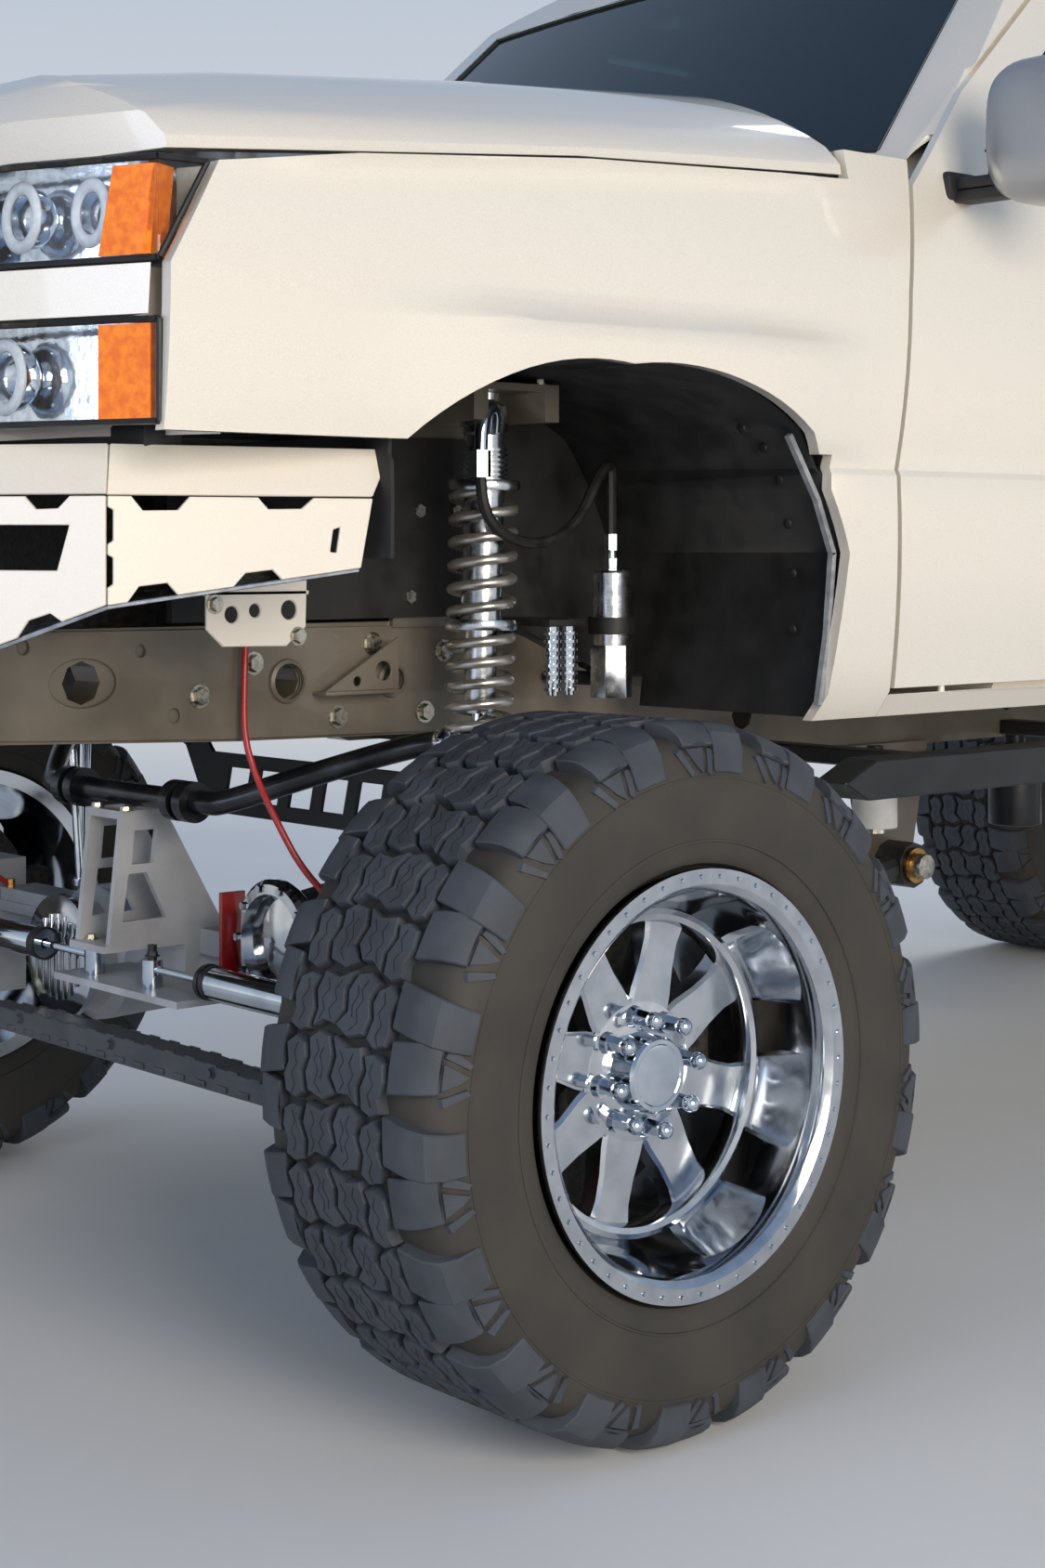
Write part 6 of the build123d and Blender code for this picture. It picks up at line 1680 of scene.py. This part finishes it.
# %% Padded seats
def padded_block(name, corners, half_width, y, swell):
    """Cushion from a side outline, extruded across, evenly meshed and blown up a little."""
    shape = bmesh.new()
    rows = []
    for side in (-1, 1):
        rows.append([shape.verts.new(spot(b, y + side * half_width, z)) for b, z in corners])
    shape.faces.new(rows[0])
    shape.faces.new(rows[1][::-1])
    for k in range(len(corners)):
        n = (k + 1) % len(corners)
        shape.faces.new((rows[0][k], rows[0][n], rows[1][n], rows[1][k]))
    bmesh.ops.recalc_face_normals(shape, faces=shape.faces)
    bmesh.ops.bevel(shape, geom=shape.edges[:], offset=0.028, segments=3, profile=0.5, material=-1,
                    affect="EDGES")
    mesh = bpy.data.meshes.new(name)
    shape.to_mesh(mesh)
    shape.free()
    made = bpy.data.objects.new(name, mesh)
    bpy.context.scene.collection.objects.link(made)
    grid = made.modifiers.new("even", "REMESH")
    grid.mode, grid.voxel_size = "VOXEL", 0.016
    made.data = bpy.data.meshes.new_from_object(made.evaluated_get(bpy.context.evaluated_depsgraph_get()))
    made.modifiers.clear()
    start = [vert.co.copy() for vert in made.data.vertices]
    cloth = made.modifiers.new("cloth", "CLOTH")
    cloth.settings.use_pressure, cloth.settings.uniform_pressure_force = True, 4.0
    cloth.settings.effector_weights.gravity = 0
    cloth.settings.quality = 4
    for step in range(1, 15):
        bpy.context.scene.frame_set(step)
    result = bpy.data.meshes.new_from_object(made.evaluated_get(bpy.context.evaluated_depsgraph_get()))
    made.modifiers.clear()
    for vert, origin in zip(result.vertices, start):
        move = vert.co - origin
        vert.co = origin + move * min(1.0, swell / max(move.length, 1e-6))
    made.data = result
    bpy.context.scene.frame_set(1)
    made.data.materials.clear()
    made.data.materials.append(seat_cloth)
    made.data.shade_smooth()
    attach(made, "root")
    return made


floor_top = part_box("seats")[0][2] * 1000
front_cushion = [(1262, 172), (1262, 272), (1500, 262), (1745, 246), (1745, 172)]
front_back = [(1715, 256), (1838, 256), (1984, 880), (1912, 898)]
head_rest = [(1916, 930), (1984, 916), (2012, 1062), (1952, 1078)]
bench_cushion = [(2146, 14), (2146, 284), (2540, 258), (2540, 14)]
bench_back = [(2568, 240), (2578, 836), (2668, 836), (2676, 240)]
for label, y in (("left", 380), ("right", -380)):
    for part, outline, half, swell in (("cushion", front_cushion, 238, 0.012), ("back", front_back, 232, 0.012),
                                       ("head", head_rest, 116, 0.010)):
        corners = [(b, floor_top + z) for b, z in outline]
        padded_block(f"seat_{part}_{label}", corners, half, y, swell)
for part, outline in (("cushion", bench_cushion), ("back", bench_back)):
    corners = [(b, floor_top + z) for b, z in outline]
    padded_block(f"bench_{part}", corners, 680, 0, 0.012)
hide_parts("seats")
hard = bmesh.new()
for y in (380, -380):
    add_box(hard, spot(1690, y - 195, floor_top), spot(1310, y + 195, floor_top + 170), 0.012)
    for side in (-45, 45):
        add_bar(hard, spot(1945, y + side, floor_top + 860), spot(1968, y + side, floor_top + 950), 0.007, 16)
piece("seat_frames", hard, "root", "dash_plastic", trim_plastic, 35)

# %% [markdown]
# ## Steering wheel
#
# A steering wheel is a ring with a round section, three spokes and a padded hub, on a
# column that leans back from the dashboard. The ring is a small circle spun round the
# column's axis.

# %% Steering wheel and column
dash_low, dash_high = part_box("dashboard")
hub = Vector((dash_low[0] - 0.10, 0.38, dash_high[2] - 0.07))
column = Vector((-1, 0, 0.42)).normalized()
RING_RADIUS, RING_SECTION = 0.186, 0.0145
steering_shape = bmesh.new()
ring = [(RING_RADIUS + RING_SECTION * math.cos(math.tau * k / 12), RING_SECTION * math.sin(math.tau * k / 12))
        for k in range(12)]
add_spun(steering_shape, ring, hub, column, 56, True)
add_spun(steering_shape, [(0.0001, 0.020), (0.050, 0.018), (0.066, 0.008), (0.070, -0.020), (0.055, -0.040),
                          (0.0001, -0.044)], hub, column, 40)
up_spoke = Vector((0.42, 0, 1)).normalized()
for turn in (90, 215, 325):
    reach = up_spoke * math.sin(math.radians(turn)) * -1 + Vector((0, 1, 0)) * math.cos(math.radians(turn))
    add_bar(steering_shape, hub + reach * 0.05, hub + reach * RING_RADIUS, 0.016, 8, 0.011)
add_bar(steering_shape, hub - column * 0.03, hub - column * 0.16, 0.026, 20)
piece("steering_wheel", steering_shape, "root", "dash_plastic", trim_plastic, 40)
print("steering wheel at", [round(v, 3) for v in hub])
